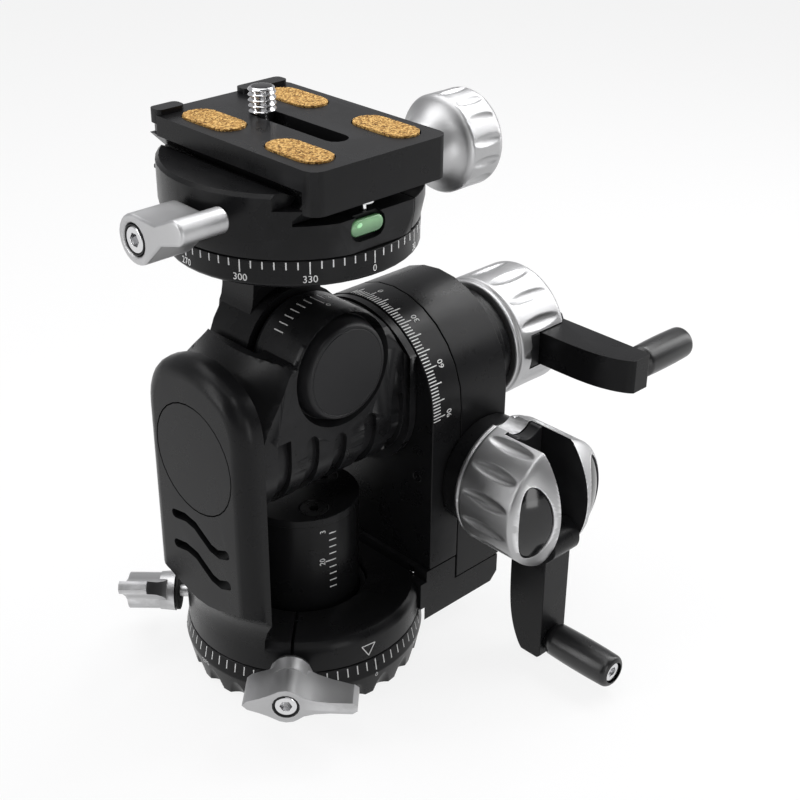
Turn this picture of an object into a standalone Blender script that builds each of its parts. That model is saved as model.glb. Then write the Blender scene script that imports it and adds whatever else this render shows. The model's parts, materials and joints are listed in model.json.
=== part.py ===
# Geared tripod head: a lifting, panning frame carries a barrel that tilts, a neck that
# tilts across it, and a panning dovetail clamp. Worms and wheels drive both tilts.
# Metres, +Z up. Origin: centre of the base's underside. +X runs along the barrel
# to the first crank knob, -Y is the front, where the hub's cap and the second knob are.

import math

import bmesh
import bpy
from mathutils import Matrix, Vector

# Clearances, overruns and facet counts shared by all pieces
fit = 0.0003
overrun = 0.002
sides_large = 48
sides_mid = 32
sides_small = 16
sides_tiny = 8
arc_step_degrees = 13
fillet_steps = 3

# Base ring and the column that stands in it
base_radius = 0.0309
base_seam_radius = 0.0300
base_foot_radius = 0.0295
base_height = 0.0113
base_widest_height = 0.0070
scallop_count = 24
scallop_radius = 0.0040
scallop_depth = 0.0008
scallop_height = 0.0035
column_radius = 0.0144
column_barrel_gap = 0.0071
column_lip_radius = 0.01468
column_lip_height = 0.0020
spigot_radius = 0.0117
socket_radius = 0.00476
socket_depth = 0.0120
column_screw_circle = 0.0088
column_screw_head = 0.00345
column_screw_head_depth = 0.0021
column_screw_shank = 0.0015
column_screw_length = 0.0080
column_screw_sink = 0.0003
column_screw_hex = 0.0013
column_screw_hex_depth = 0.0012
column_screw_angles = (250, 10, 130)

# Lift sleeve between the column and the frame
sleeve_radius = 0.0163
sleeve_height = 0.0053

# Frame: clamping disc, upright arm and foot in one casting
disc_radius = 0.0300
disc_top = 0.0199
disc_fillet = 0.0030
clamp_slit_width = 0.0008
clamp_slit_floor = 0.0170
barrel_height = 0.0672
arm_outer = 0.0320
arm_inner = 0.0257
arm_half_width = 0.0187
arm_edge = 0.0045
arm_top_radius = 0.0245
arm_blend_rise = 0.0083
arm_blend_angle = 60
arm_root_height = 0.0310
arm_root_radius = 0.0365
arm_foot_height = 0.0172
slot_width = 0.0024
slot_lift = 0.0086
slot_route = ((0.0091, -0.0188), (0.0050, -0.0180), (0.0011, -0.0186), (-0.0020, -0.0205),
              (-0.0047, -0.0221), (-0.0077, -0.0225), (-0.0106, -0.0213))
cover_radius = 0.0139
cover_thickness = 0.0015
arm_pin_radius = 0.0050
arm_pin_reach = 0.0080
foot_start = 0.0186
foot_end = 0.0478
foot_bottom = 0.0080
foot_top = 0.0158
foot_ledge_start = 0.0207
foot_ledge_end = 0.0312
foot_ledge_top = 0.0228
foot_chamfer = 0.0024
foot_ring_gap = 0.0009
dowel_radius = 0.0011
dowel_length = 0.0050
dowel_x = 0.0216
dowel_y = -0.0190
dowel_proud = 0.0004

# Tower: a scale plate and a gear housing, both round about the barrel's axis
tower_radius = 0.0246
tower_inner = 0.0218
tower_seam = 0.0319
tower_back = 0.0481
tower_screw_y = -0.0193
tower_screw_drop = 0.0185
tower_screw_radius = 0.0011
tower_screw_length = 0.0060

# Barrel: body, two heads, hub and the axle through the tower
barrel_radius = 0.0147
barrel_left = 0.0254
barrel_right = 0.0215
axle_radius = 0.0090
head_radius = 0.0244
head_right = 0.0160
head_low_rise = 0.0108
right_head_left = 0.0165
right_disc_left = 0.0195
right_disc_radius = 0.0188
scoop_radius = 0.0163
scoop_front = 0.0050
hub_radius = 0.0148
hub_front = 0.0144
hub_back = 0.0005
hub_chamfer = 0.0020
groove_width = 0.0038
groove_depth = 0.0015
groove_steps = 11
groove_places = ((-0.0178, 0.0071), (-0.0087, 0.0041), (0.0006, 0.0017),
                 (0.0099, 0.0037), (0.0182, 0.0063))
cap_flange_radius = 0.0139
cap_flange = 0.0007
cap_radius = 0.0110
cap_proud = 0.0034
hinge_pin_radius = 0.0040
hinge_pin_front = 0.0138
hinge_pin_head_radius = 0.0065
hinge_pin_head = 0.0010

# Worm drives: the neck's wheel over a worm in the barrel, and the barrel's wheel in the tower
wheel_teeth = 36
neck_module = 0.0007
neck_worm_radius = 0.0057
neck_wheel_half_width = 0.0030
barrel_module = 0.0008
barrel_worm_radius = 0.0061
barrel_wheel_half_width = 0.0030
gear_place = 0.0400
tooth_depth_share = 0.71
tooth_root_share = 0.93
tooth_thickness_share = 0.386
thread_thickness_share = 0.33
flank_share = 0.14
worm_turns = 3
worm_turn_steps = 12

# Neck and its pan ring
neck_radius = 0.0155
neck_low_radius = 0.0126
neck_flare_angle = 45
neck_tilt_most = 30
neck_back = 0.0140
neck_block_half = 0.0095
neck_block_front = 0.0030
neck_block_back = 0.0150
neck_boss_radius = 0.0095
neck_boss_rise = 0.0200
neck_rise = 0.0276
pan_ring_radius = 0.0290
pan_ring_height = 0.0065
pan_ring_bevel = 0.0008
pan_spindle_radius = 0.0060
pan_spindle_height = 0.0030

# Dovetail clamp, its sliding jaw, level and safety pin. Rises are from the clamp's underside.
clamp_radius = 0.0300
clamp_flare = 0.0010
clamp_flare_rise = 0.0051
clamp_rise = 0.0111
jaw_rise = 0.0146
jaw_edge_bevel = 0.0008
clamp_facet_depth = 0.0020
clamp_split = 0.0112
jaw_lip_end = 0.0200
jaw_lip_edge = 0.0198
jaw_opening = 0.0030
guide_radius = 0.0018
guide_inset = 0.0140
guide_rise = 0.0041
guide_reach = 0.0110
clamp_screw_rise = 0.0054
clamp_screw_radius = 0.0019
clamp_screw_end = 0.0075
level_left = -0.0073
level_right = 0.0020
level_rise = 0.0051
level_half_height = 0.0027
level_depth = 0.0011
pin_x = -0.0014
pin_inset = 0.0048
pin_radius = 0.0024
pin_stem_radius = 0.0007
pin_head = 0.0015
pin_rise = 0.0041
pin_travel = 0.0012
pin_notch_left = -0.0096
pin_notch_right = 0.0021
pin_notch_depth = 0.0017

# Clamp knob
clamp_knob_round = 0.0020
clamp_knob_neck_radius = 0.0065
clamp_knob_neck_length = 0.0157
clamp_knob_length = 0.0277
clamp_knob_radius = 0.0122
clamp_knob_flutes = 14
clamp_knob_flute_radius = 0.0022
clamp_knob_flute_depth = 0.0010

# Pan lock lever
lever_gap = 0.0014
lever_length = 0.0121
lever_hub_radius = 0.0056
lever_reach = 0.0182
lever_tip = 0.0056
lever_waist = 0.0040
lever_y = -0.0010
lever_rise = 0.0051
lever_tilt = 21
lever_shaft_radius = 0.0025
lever_shaft_reach = 0.0080
lever_screw_radius = 0.0033
lever_screw_depth = 0.0030

# Quick-release plate, pads and camera screw. Rises are from the plate's underside.
plate_half_width = 0.0194
plate_front = 0.0301
plate_back = 0.0260
plate_lift = 0.0081
plate_thickness = 0.0129
plate_side_rise = 0.0085
plate_corner = 0.0030
dovetail_waist = 0.0156
dovetail_waist_rise = 0.0041
dovetail_foot = 0.0190
dovetail_front = 0.0225
flange_back = 0.0264
flange_rise = 0.0033
lip_height = 0.0025
lip_depth = 0.0040
lip_left = (-0.0194, -0.0120)
lip_right = (0.0050, 0.0180)
camera_slot_half = 0.00285
camera_slot_x = -0.0006
camera_slot_front = -0.0156
camera_screw_y = 0.0089
camera_thread_radius = 0.003175
camera_neck_radius = 0.0024
camera_screw_reach = 0.0061
camera_head_radius = 0.0068
camera_head_rise = 0.0034
camera_head_height = 0.0032
camera_coin_slot = 0.0012
camera_washer = 0.0005
camera_washer_radius = 0.0060
plate_travel = 0.0300
pad_half_width = 0.0041
pad_half_length = 0.0089
pad_sink = 0.0003
pad_thickness = 0.0007
pad_places = ((-0.0122, 0.0115), (-0.0122, -0.0174), (0.0123, 0.0124), (0.0124, -0.0174))

# Crank knobs A (on the barrel's axis) and B (across the tower), of one design.
# u runs outward from the knob's rear rim, v along the unfolded crank, w across it.
collar_radius = 0.0163
collar_step = 0.0573
collar_a_end = 0.0607
collar_step_radius = 0.0150
collar_screw_radius = 0.0018
collar_screw_length = 0.0060
collar_b_radius = 0.0148
collar_b_length = 0.0054
knob_gap = 0.0003
knob_radius = 0.0170
knob_rim_radius = 0.0163
knob_edge = 0.0195
knob_length = 0.0255
knob_flutes = 10
knob_flute_radius = 0.0030
knob_flute_depth = 0.0011
knob_flute_start = 0.0035
knob_flute_end = 0.0165
knob_slot_half = 0.0050
knob_slot_floor = 0.0095
knob_insert_thickness = 0.0035
knob_insert_radius = 0.0158
grip_groove_radius = 0.0049
inlay_place = 0.0108
inlay_half_width = 0.0030
inlay_half_length = 0.0082
inlay_floor = 0.0205
inlay_sink = 0.0002
pivot_u = 0.0190
pivot_v = 0.0100
pivot_round = 0.0047
crank_half_width = 0.0047
crank_high = 0.0209
crank_length = 0.0444
crank_heel = ((0.0160, 0.0046), (0.0125, 0.0060), (0.0103, 0.0090))
crank_bow = ((0.0097, 0.0170), (0.0098, 0.0245), (0.0107, 0.0303), (0.0120, 0.0342),
             (0.0137, 0.0366), (0.0143, 0.0400), (0.0144, 0.0440))
crank_tip_edge = 0.0004
grip_place = 0.0396
grip_radius = 0.0045
grip_round = 0.0015
grip_neck_radius = 0.0036
grip_neck = 0.0008
grip_end = 0.0412
grip_screw_radius = 0.0028
grip_screw_depth = 0.0030

# Wing screws that lock the lift and the turn of the frame
wing_height = 0.0140
wing_angles = (135.5, 224)
wing_turns = (38, 0)
wing_shank_radius = 0.0016
wing_shank_start = 0.0172
wing_collar_start = 0.0323
wing_washer_thickness = 0.0008
wing_collar_radius = 0.0053
wing_body_start = 0.0353
wing_body_end = 0.0455
wing_hub = 0.0047
wing_short = 0.0104
wing_long = 0.0170
wing_tip = 0.0020
wing_shoulder_shares = (0.55, 0.83)
wing_tip_shares = (0.8, 0.6)
wing_back_start = 0.0385
wing_screw_radius = 0.0030
wing_screw_depth = 0.0030

# Values that follow from the sizes above
disc_bottom = base_height + fit
disc_hole = sleeve_radius + fit
tower_floor = foot_ledge_top + fit
housing_floor = foot_top + fit
axle_hole = axle_radius + fit
neck_pitch_radius = neck_module * wheel_teeth / 2
barrel_pitch_radius = barrel_module * wheel_teeth / 2
column_top = barrel_height - barrel_radius - column_barrel_gap
arm_blend_start = barrel_height + arm_blend_rise
tower_screw_z = barrel_height - tower_screw_drop
head_low_height = barrel_height + head_low_rise
cross_height = barrel_height + neck_pitch_radius + neck_worm_radius
knob_b_height = barrel_height - barrel_pitch_radius - barrel_worm_radius
neck_boss_bottom = cross_height + neck_boss_rise
neck_top = cross_height + neck_rise
pan_ring_top = neck_top + pan_ring_height
worm_a_outer = neck_worm_radius + neck_module * tooth_depth_share
worm_b_outer = barrel_worm_radius + barrel_module * tooth_depth_share
worm_a_bore = worm_a_outer + fit + fit / 3
worm_b_bore = worm_b_outer + fit
neck_wheel_cavity = neck_pitch_radius + neck_module * tooth_depth_share + fit + fit / 3
neck_front = neck_wheel_half_width + fit + fit / 3
wheel_b_cavity = barrel_pitch_radius + barrel_module * tooth_depth_share + fit
clamp_bottom = pan_ring_top + fit
clamp_low_radius = clamp_radius - clamp_flare
clamp_facet = clamp_radius - clamp_facet_depth
guide_side = clamp_radius - guide_inset
pin_y = pin_inset - clamp_radius
clamp_knob_start = clamp_radius + fit
clamp_knob_flare = clamp_knob_start + clamp_knob_neck_length
clamp_knob_end = clamp_knob_start + clamp_knob_length
lever_start = clamp_radius + lever_gap
lever_end = lever_start + lever_length
clamp_flare_height = clamp_bottom + clamp_flare_rise
clamp_top = clamp_bottom + clamp_rise
jaw_top = clamp_bottom + jaw_rise
guide_height = clamp_bottom + guide_rise
clamp_screw_height = clamp_bottom + clamp_screw_rise
level_height = clamp_bottom + level_rise
pin_bottom = clamp_bottom + pin_rise
lever_height = clamp_bottom + lever_rise
plate_bottom = clamp_bottom + plate_lift
plate_top = plate_bottom + plate_thickness
plate_side_bottom = plate_bottom + plate_side_rise
dovetail_waist_bottom = plate_bottom + dovetail_waist_rise
flange_bottom = plate_bottom + flange_rise
camera_head_bottom = plate_bottom + camera_head_rise
camera_head_top = camera_head_bottom + camera_head_height
camera_thread_start = plate_top + fit
camera_screw_top = plate_top + camera_screw_reach
channel_floor = plate_bottom - fit
pin_top = clamp_top
knob_a_start = collar_a_end + knob_gap
grip_groove_place = grip_place - 2 * pivot_v
knob_b_start = tower_radius + fit + collar_b_length + knob_gap

# Colours: red, green, blue, roughness, metallic
finishes = {
    "black_anodised": (0.022, 0.022, 0.024, 0.42, 0.6),
    "black_satin": (0.030, 0.030, 0.032, 0.50, 0.3),
    "silver_anodised": (0.78, 0.78, 0.79, 0.32, 1.0),
    "steel": (0.70, 0.70, 0.71, 0.22, 1.0),
    "dark_steel": (0.08, 0.08, 0.085, 0.35, 0.9),
    "brass": (0.72, 0.53, 0.25, 0.30, 1.0),
    "cork": (0.55, 0.33, 0.12, 0.90, 0.0),
    "level_green": (0.30, 0.75, 0.35, 0.10, 0.0),
    "rubber": (0.020, 0.020, 0.020, 0.75, 0.0),
}


def clear_scene():
    for thing in list(bpy.data.objects):
        bpy.data.objects.remove(thing, do_unlink=True)


def finish_named(name):
    material = bpy.data.materials.get(name)
    if material is None:
        red, green, blue, roughness, metallic = finishes[name]
        material = bpy.data.materials.new(name)
        material.use_nodes = True
        shader = material.node_tree.nodes["Principled BSDF"]
        shader.inputs["Base Color"].default_value = (red, green, blue, 1)
        shader.inputs["Roughness"].default_value = roughness
        shader.inputs["Metallic"].default_value = metallic
    return material


# Plane figures: lists of two numbers, run anticlockwise

def arc(centre, radius, start, end, steps=None):
    steps = steps or max(2, round(abs(end - start) / arc_step_degrees))
    points = []
    for step in range(steps + 1):
        angle = math.radians(start + (end - start) * step / steps)
        points.append((centre[0] + radius * math.cos(angle), centre[1] + radius * math.sin(angle)))
    return points


def bent(start, corner, end, steps=6):
    """Points of a smooth curve that leaves start and reaches end toward the corner."""
    points = []
    for step in range(steps + 1):
        t = step / steps
        points.append(tuple(
            (1 - t) ** 2 * start[k] + 2 * t * (1 - t) * corner[k] + t * t * end[k] for k in (0, 1)
        ))
    return points


def rounded_box(left, right, low, high, radius):
    return (arc((right - radius, low + radius), radius, -90, 0, fillet_steps)
            + arc((right - radius, high - radius), radius, 0, 90, fillet_steps)
            + arc((left + radius, high - radius), radius, 90, 180, fillet_steps)
            + arc((left + radius, low + radius), radius, 180, 270, fillet_steps))


def thick_line(route, width):
    """Outline of a band of one width along a route, with round ends."""
    half = width / 2
    left, right = [], []
    for index, point in enumerate(route):
        before = Vector(route[max(index - 1, 0)])
        after = Vector(route[min(index + 1, len(route) - 1)])
        along = (after - before).normalized()
        across = Vector((-along.y, along.x)) * half
        left.append(tuple(Vector(point) + across))
        right.append(tuple(Vector(point) - across))
    heading = math.degrees(math.atan2(route[-1][1] - route[-2][1], route[-1][0] - route[-2][0]))
    tail = math.degrees(math.atan2(route[1][1] - route[0][1], route[1][0] - route[0][0]))
    end_cap = arc(route[-1], half, heading - 90, heading + 90)[1:-1]
    start_cap = arc(route[0], half, tail + 90, tail + 270)[1:-1]
    return right + end_cap + left[::-1] + start_cap


# Solids, made at their place in the world

def place_on(axis, first, second, along):
    """World point of two plane numbers and a distance along the named axis."""
    if axis == "x":
        return Vector((along, first, second))
    if axis == "y":
        return Vector((first, along, second))
    return Vector((first, second, along))


def new_object(name, mesh_data):
    thing = bpy.data.objects.new(name, mesh_data)
    bpy.context.scene.collection.objects.link(thing)
    return thing


def from_faces(name, points, faces):
    mesh = bpy.data.meshes.new(name)
    work = bmesh.new()
    verts = [work.verts.new(point) for point in points]
    for face in faces:
        work.faces.new([verts[index] for index in face])
    bmesh.ops.recalc_face_normals(work, faces=work.faces)
    work.to_mesh(mesh)
    work.free()
    return new_object(name, mesh)


def lofted(name, rings):
    """Closed body through rings of as many points each, capped at both ends."""
    count = len(rings[0])
    points = [point for ring in rings for point in ring]
    faces = [list(range(count)), list(range((len(rings) - 1) * count, len(rings) * count))]
    for level in range(len(rings) - 1):
        for index in range(count):
            after = (index + 1) % count
            low, high = level * count, (level + 1) * count
            faces.append([low + index, low + after, high + after, high + index])
    return from_faces(name, points, faces)


def prism(name, outline, axis, low, high):
    rings = [[place_on(axis, a, b, along) for a, b in outline] for along in (low, high)]
    return lofted(name, rings)


def box(name, x_range, y_range, z_range):
    outline = [(x_range[0], y_range[0]), (x_range[1], y_range[0]),
               (x_range[1], y_range[1]), (x_range[0], y_range[1])]
    return prism(name, outline, "z", z_range[0], z_range[1])


def turned(name, profile, axis, centre, sides):
    """Round body from (radius, distance along the axis) pairs. centre is in the axis's plane."""
    rings, points, faces = [], [], []
    for radius, along in profile:
        if radius == 0:
            rings.append([len(points)])
            points.append(place_on(axis, centre[0], centre[1], along))
            continue
        ring = []
        for side in range(sides):
            angle = 2 * math.pi * (side + 0.5) / sides
            ring.append(len(points))
            points.append(place_on(axis, centre[0] + radius * math.cos(angle),
                                   centre[1] + radius * math.sin(angle), along))
        rings.append(ring)
    pairs = list(zip(rings, rings[1:]))
    if profile[0][0] != 0:
        pairs.append((rings[-1], rings[0]))
    for first, second in pairs:
        if len(first) == 1 and len(second) == 1:
            continue
        for side in range(sides):
            after = (side + 1) % sides
            corners = [first[side % len(first)], first[after % len(first)],
                       second[after % len(second)], second[side % len(second)]]
            faces.append(list(dict.fromkeys(corners)))
    return from_faces(name, points, faces)


def rod(name, radius, axis, centre, low, high, sides=sides_mid):
    return turned(name, [(0, low), (radius, low), (radius, high), (0, high)], axis, centre, sides)


def is_closed(mesh):
    work = bmesh.new()
    work.from_mesh(mesh)
    closed = all(len(edge.link_faces) == 2 for edge in work.edges)
    work.free()
    return closed


def combine(body, tools, operation):
    """One Boolean per tool: the exact solver, or the manifold one where that leaves it open."""
    for tool in tools:
        step = body.modifiers.new("step", "BOOLEAN")
        step.operation = operation
        step.object = tool
        for solver in ("EXACT", "MANIFOLD"):
            step.solver = solver
            bpy.context.view_layer.update()
            result = body.evaluated_get(bpy.context.evaluated_depsgraph_get())
            mesh = bpy.data.meshes.new_from_object(result)
            if is_closed(mesh):
                break
        body.modifiers.clear()
        body.data = mesh
        bpy.data.objects.remove(tool, do_unlink=True)
    return body


def cut(body, *tools):
    return combine(body, tools, "DIFFERENCE")


def join(body, *tools):
    return combine(body, tools, "UNION")


def keep(body, *tools):
    return combine(body, tools, "INTERSECT")


def finished(thing, material, pivot=(0, 0, 0), parent=None, sharp_degrees=32):
    """Gives a body its name's mesh, finish, smooth shading, pivot and parent."""
    mesh = thing.data
    mesh.name = thing.name
    mesh.materials.clear()
    mesh.materials.append(finish_named(material))
    mesh.transform(Matrix.Translation(-Vector(pivot)))
    thing.location = pivot
    mesh.shade_smooth()
    mesh.set_sharp_from_angle(angle=math.radians(sharp_degrees))
    bpy.context.view_layer.update()
    if parent is not None:
        thing.parent = parent
        thing.matrix_parent_inverse = parent.matrix_world.inverted()
    return thing


def hex_recess(name, radius, axis, centre, low, high):
    return rod(name, radius, axis, centre, low, high, sides=6)


# Base and column

def make_base():
    base_bore = spigot_radius + fit
    ring = turned("base_ring", [
        (base_bore, 0), (base_foot_radius, 0), (base_radius, base_widest_height),
        (base_seam_radius, base_height), (base_bore, base_height),
    ], "z", (0, 0), sides_large)
    for index in range(scallop_count):
        angle = 2 * math.pi * index / scallop_count
        reach = base_foot_radius + scallop_radius - scallop_depth
        centre = (reach * math.cos(angle), reach * math.sin(angle))
        cut(ring, rod("scallop", scallop_radius, "z", centre, -overrun, scallop_height,
                      sides_tiny))
    return finished(ring, "black_anodised")


def column_screw_centre(angle):
    turn = math.radians(angle)
    return (column_screw_circle * math.cos(turn), column_screw_circle * math.sin(turn))


def make_column(parent):
    column = turned("column", [
        (0, column_top), (column_lip_radius, column_top),
        (column_lip_radius, column_top - column_lip_height),
        (column_radius, column_top - column_lip_height), (column_radius, disc_bottom),
        (spigot_radius, disc_bottom), (spigot_radius, 0), (socket_radius, 0),
        (socket_radius, socket_depth), (0, socket_depth),
    ], "z", (0, 0), sides_mid)
    for angle in column_screw_angles:
        floor = column_top - column_screw_sink - column_screw_head_depth - fit
        cut(column, turned("countersink", [
            (0, floor - column_screw_length), (column_screw_shank + fit, floor - column_screw_length),
            (column_screw_shank + fit, floor), (column_screw_head + fit, column_top - column_screw_sink),
            (column_screw_head + fit, column_top + overrun), (0, column_top + overrun),
        ], "z", column_screw_centre(angle), sides_small))
    return finished(column, "black_anodised", parent=parent)


def make_column_screw(number, angle, parent):
    head_top = column_top - column_screw_sink
    head_bottom = head_top - column_screw_head_depth
    centre = column_screw_centre(angle)
    screw = turned(f"column_screw_{number}", [
        (0, head_bottom - column_screw_length + fit),
        (column_screw_shank, head_bottom - column_screw_length + fit),
        (column_screw_shank, head_bottom), (column_screw_head, head_top), (0, head_top),
    ], "z", centre, sides_small)
    cut(screw, hex_recess("hex", column_screw_hex, "z", centre,
                          head_top - column_screw_hex_depth, head_top + overrun))
    return finished(screw, "dark_steel", parent=parent)


def make_sleeve(parent):
    inner = column_radius + fit
    sleeve = turned("lift_sleeve", [
        (inner, disc_bottom), (sleeve_radius, disc_bottom),
        (sleeve_radius, disc_bottom + sleeve_height), (inner, disc_bottom + sleeve_height),
    ], "z", (0, 0), sides_mid)
    return finished(sleeve, "dark_steel", parent=parent)


# Frame

def arm_outline(inset):
    """Arm's outline in Y and Z, drawn in by the inset except along its foot."""
    side = arm_half_width - inset
    radius = arm_top_radius - inset
    turn = math.radians(arm_blend_angle)
    start = (radius * math.cos(turn), barrel_height + radius * math.sin(turn))
    corner = (side, start[1] + (side - start[0]) * -math.cos(turn) / math.sin(turn))
    blend = bent((side, arm_blend_start), corner, start)
    crown = arc((0, barrel_height), radius, arm_blend_angle, 180 - arm_blend_angle)[1:-1]
    mirrored = [(-y, z) for y, z in blend][::-1]
    return ([(-side, arm_foot_height - overrun), (side, arm_foot_height - overrun)]
            + blend + crown + mirrored)


def make_arm():
    rings = [[Vector((-arm_inner, y, z)) for y, z in arm_outline(0)]]
    steps = 5
    for step in range(steps + 1):
        turn = math.pi / 2 * step / steps
        inset = arm_edge * (1 - math.cos(turn))
        x = -arm_outer + arm_edge * (1 - math.sin(turn))
        rings.append([Vector((x, y, z)) for y, z in arm_outline(inset)])
    return lofted("arm", rings)


def make_frame(parent):
    shoulder = disc_top - disc_fillet
    edge = arc((disc_radius - disc_fillet, shoulder), disc_fillet, 0, 90, fillet_steps)
    frame = turned("head_frame", [(disc_hole, disc_bottom), (disc_radius, disc_bottom)]
                   + edge + [(disc_hole, disc_top)], "z", (0, 0), sides_large)
    arm = make_arm()
    root = bent((disc_radius, arm_foot_height), (disc_radius, arm_root_height - disc_fillet),
                (arm_root_radius, arm_root_height))
    envelope = turned("envelope", [(0, disc_bottom), (disc_radius, disc_bottom)] + root
                      + [(arm_root_radius, barrel_height + arm_top_radius + overrun),
                         (0, barrel_height + arm_top_radius + overrun)], "z", (0, 0), sides_large)
    keep(arm, envelope)
    foot = prism("foot", [
        (foot_start, foot_bottom), (foot_end - foot_chamfer, foot_bottom),
        (foot_end, foot_bottom + foot_chamfer), (foot_end, foot_top), (foot_ledge_end, foot_top),
        (foot_ledge_end, foot_ledge_top), (foot_ledge_start, foot_ledge_top),
        (foot_ledge_start, disc_top - fit), (foot_start, disc_top - fit),
    ], "y", -tower_radius, tower_radius)
    cut(foot, rod("ring_room", base_radius + foot_ring_gap, "z", (0, 0),
                  foot_bottom - overrun, disc_bottom + fit, sides_large))
    join(frame, arm, foot)
    slots = []
    for lift in (0, -slot_lift):
        route = [(y, barrel_height + rise + lift) for y, rise in slot_route]
        outline = thick_line(route, slot_width)
        slots.append(prism("slot", outline, "x", -arm_outer - overrun, -arm_inner + overrun))
    cut(frame, *slots)
    centre = (0, barrel_height)
    cut(frame, rod("cover_seat", cover_radius + fit, "x", centre, -arm_outer - overrun,
                   -arm_outer + cover_thickness + fit))
    cut(frame, rod("pin_hole", arm_pin_radius + fit, "x", centre, -arm_outer,
                   -arm_inner + overrun, sides_small))
    for angle in wing_angles:
        hole = rod("screw_hole", wing_shank_radius + fit, "x", (0, wing_height),
                   sleeve_radius, disc_radius + overrun, sides_tiny)
        turn_about_z(hole, angle)
        cut(frame, hole)
    slit = box("slit", (sleeve_radius, disc_radius + overrun),
               (-clamp_slit_width / 2, clamp_slit_width / 2), (clamp_slit_floor, disc_top + overrun))
    turn_about_z(slit, wing_angles[1])
    cut(frame, slit)
    cut(frame, rod("dowel_hole", dowel_radius + fit, "z", (dowel_x, dowel_y),
                   disc_top - dowel_length, disc_top + overrun, sides_tiny))
    return finished(frame, "black_anodised", parent=parent)


def turn_about_z(thing, degrees):
    thing.data.transform(Matrix.Rotation(math.radians(degrees), 4, "Z"))


def make_dowel(parent):
    dowel = rod("foot_dowel", dowel_radius, "z", (dowel_x, dowel_y),
                disc_top - dowel_length + fit, disc_top + dowel_proud, sides_tiny)
    return finished(dowel, "steel", parent=parent)


def make_arm_cover(parent):
    cover = rod("arm_cover", cover_radius, "x", (0, barrel_height), -arm_outer,
                -arm_outer + cover_thickness)
    return finished(cover, "black_anodised", parent=parent)


def make_arm_pin(parent):
    start = -arm_outer + cover_thickness + fit + fit
    pin = rod("arm_pin", arm_pin_radius, "x", (0, barrel_height), start,
              -barrel_left + arm_pin_reach, sides_small)
    return finished(pin, "steel", parent=parent)


def tower_outline(floor):
    crown = arc((0, barrel_height), tower_radius, 0, 180)
    return [(tower_radius, floor)] + crown + [(-tower_radius, floor)]


def make_scale_tower(parent):
    tower = prism("scale_tower", tower_outline(tower_floor), "x", tower_inner, tower_seam - fit)
    cut(tower, rod("axle_hole", axle_hole, "x", (0, barrel_height),
                   tower_inner - overrun, tower_seam + overrun))
    cut(tower, rod("screw_hole", tower_screw_radius + fit, "x", (tower_screw_y, tower_screw_z),
                   tower_inner - overrun, tower_inner + tower_screw_length + fit, sides_tiny))
    return finished(tower, "black_anodised", parent=parent)


def make_tower_screw(parent):
    centre = (tower_screw_y, tower_screw_z)
    screw = rod("tower_screw", tower_screw_radius, "x", centre, tower_inner + fit,
                tower_inner + tower_screw_length, sides_tiny)
    cut(screw, hex_recess("hex", tower_screw_radius / 2, "x", centre,
                          tower_inner - overrun, tower_inner + tower_screw_radius))
    return finished(screw, "dark_steel", parent=parent)


def make_gear_housing(parent):
    centre = (0, barrel_height)
    housing = prism("gear_housing", tower_outline(housing_floor), "x", tower_seam, tower_back)
    cut(housing, rod("axle_hole", axle_hole, "x", centre, tower_seam - overrun,
                     tower_back + overrun))
    half = barrel_wheel_half_width + fit + fit
    cut(housing, rod("wheel_room", wheel_b_cavity, "x", centre, gear_place - half,
                     gear_place + half))
    worm_end = worm_half_length(barrel_module) + fit + worm_b_outer
    cut(housing, rod("worm_room", worm_b_bore, "y", (gear_place, knob_b_height),
                     -tower_radius - overrun, worm_end + fit))
    return finished(housing, "black_anodised", parent=parent)


# Worm drives

def worm_half_length(module):
    """Half the cut-down length of a worm's shaft, which clears the wheel's tooth tips."""
    pitch, depth = module * wheel_teeth / 2, module * tooth_depth_share
    reach = pitch - depth - fit
    return math.sqrt((pitch + depth) ** 2 - reach ** 2) + fit


def wheel_outline(module, phase):
    """Toothed outline about (0, 0) with a tooth space centred at the phase angle, in radians."""
    pitch = module * wheel_teeth / 2
    tip, root = pitch + module * tooth_depth_share, pitch - module * tooth_root_share
    tooth = 2 * math.pi / wheel_teeth
    half = tooth * tooth_thickness_share / 2
    slope = tooth * flank_share / 2
    points = []
    for index in range(wheel_teeth):
        centre = phase + tooth * (index + 1 / 2)
        for radius, offset in ((root, -half - slope), (tip, -half + slope),
                               (tip, half - slope), (root, half + slope)):
            points.append((radius * math.cos(centre + offset), radius * math.sin(centre + offset)))
    return points


def make_worm_ridge(module, worm_radius):
    """Right-hand thread along +X about the X axis, whose crest passes +Z at x = 0."""
    lead = math.pi * module
    crest = worm_radius + module * tooth_depth_share
    root = worm_radius - module * tooth_root_share
    buried = root - module / 2
    flank = lead * flank_share
    half = lead * thread_thickness_share / 2
    rings = []
    steps = round(worm_turns * worm_turn_steps)
    for step in range(steps + 1):
        angle = 2 * math.pi * worm_turns * (step / steps - 1 / 2)
        along = lead * angle / (2 * math.pi)
        ring = []
        for radius, offset in ((buried, -half - flank), (crest, -half + flank / 2),
                               (crest, half - flank / 2), (buried, half + flank)):
            ring.append(Vector((along + offset, -radius * math.sin(angle),
                                radius * math.cos(angle))))
        rings.append(ring)
    return lofted("ridge", rings)


def make_worm(name, module, worm_radius, shaft_radius, shaft_end):
    """Worm about the X axis with its middle at x = 0, and its shaft out to shaft_end."""
    root = worm_radius - module * tooth_root_share
    half = worm_half_length(module)
    tail = half + shaft_radius
    shaft = turned(name, [
        (0, -tail), (shaft_radius, -tail), (shaft_radius, -half), (root, -half), (root, half),
        (shaft_radius, half), (shaft_radius, shaft_end), (0, shaft_end),
    ], "x", (0, 0), sides_small)
    return join(shaft, make_worm_ridge(module, worm_radius))


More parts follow.
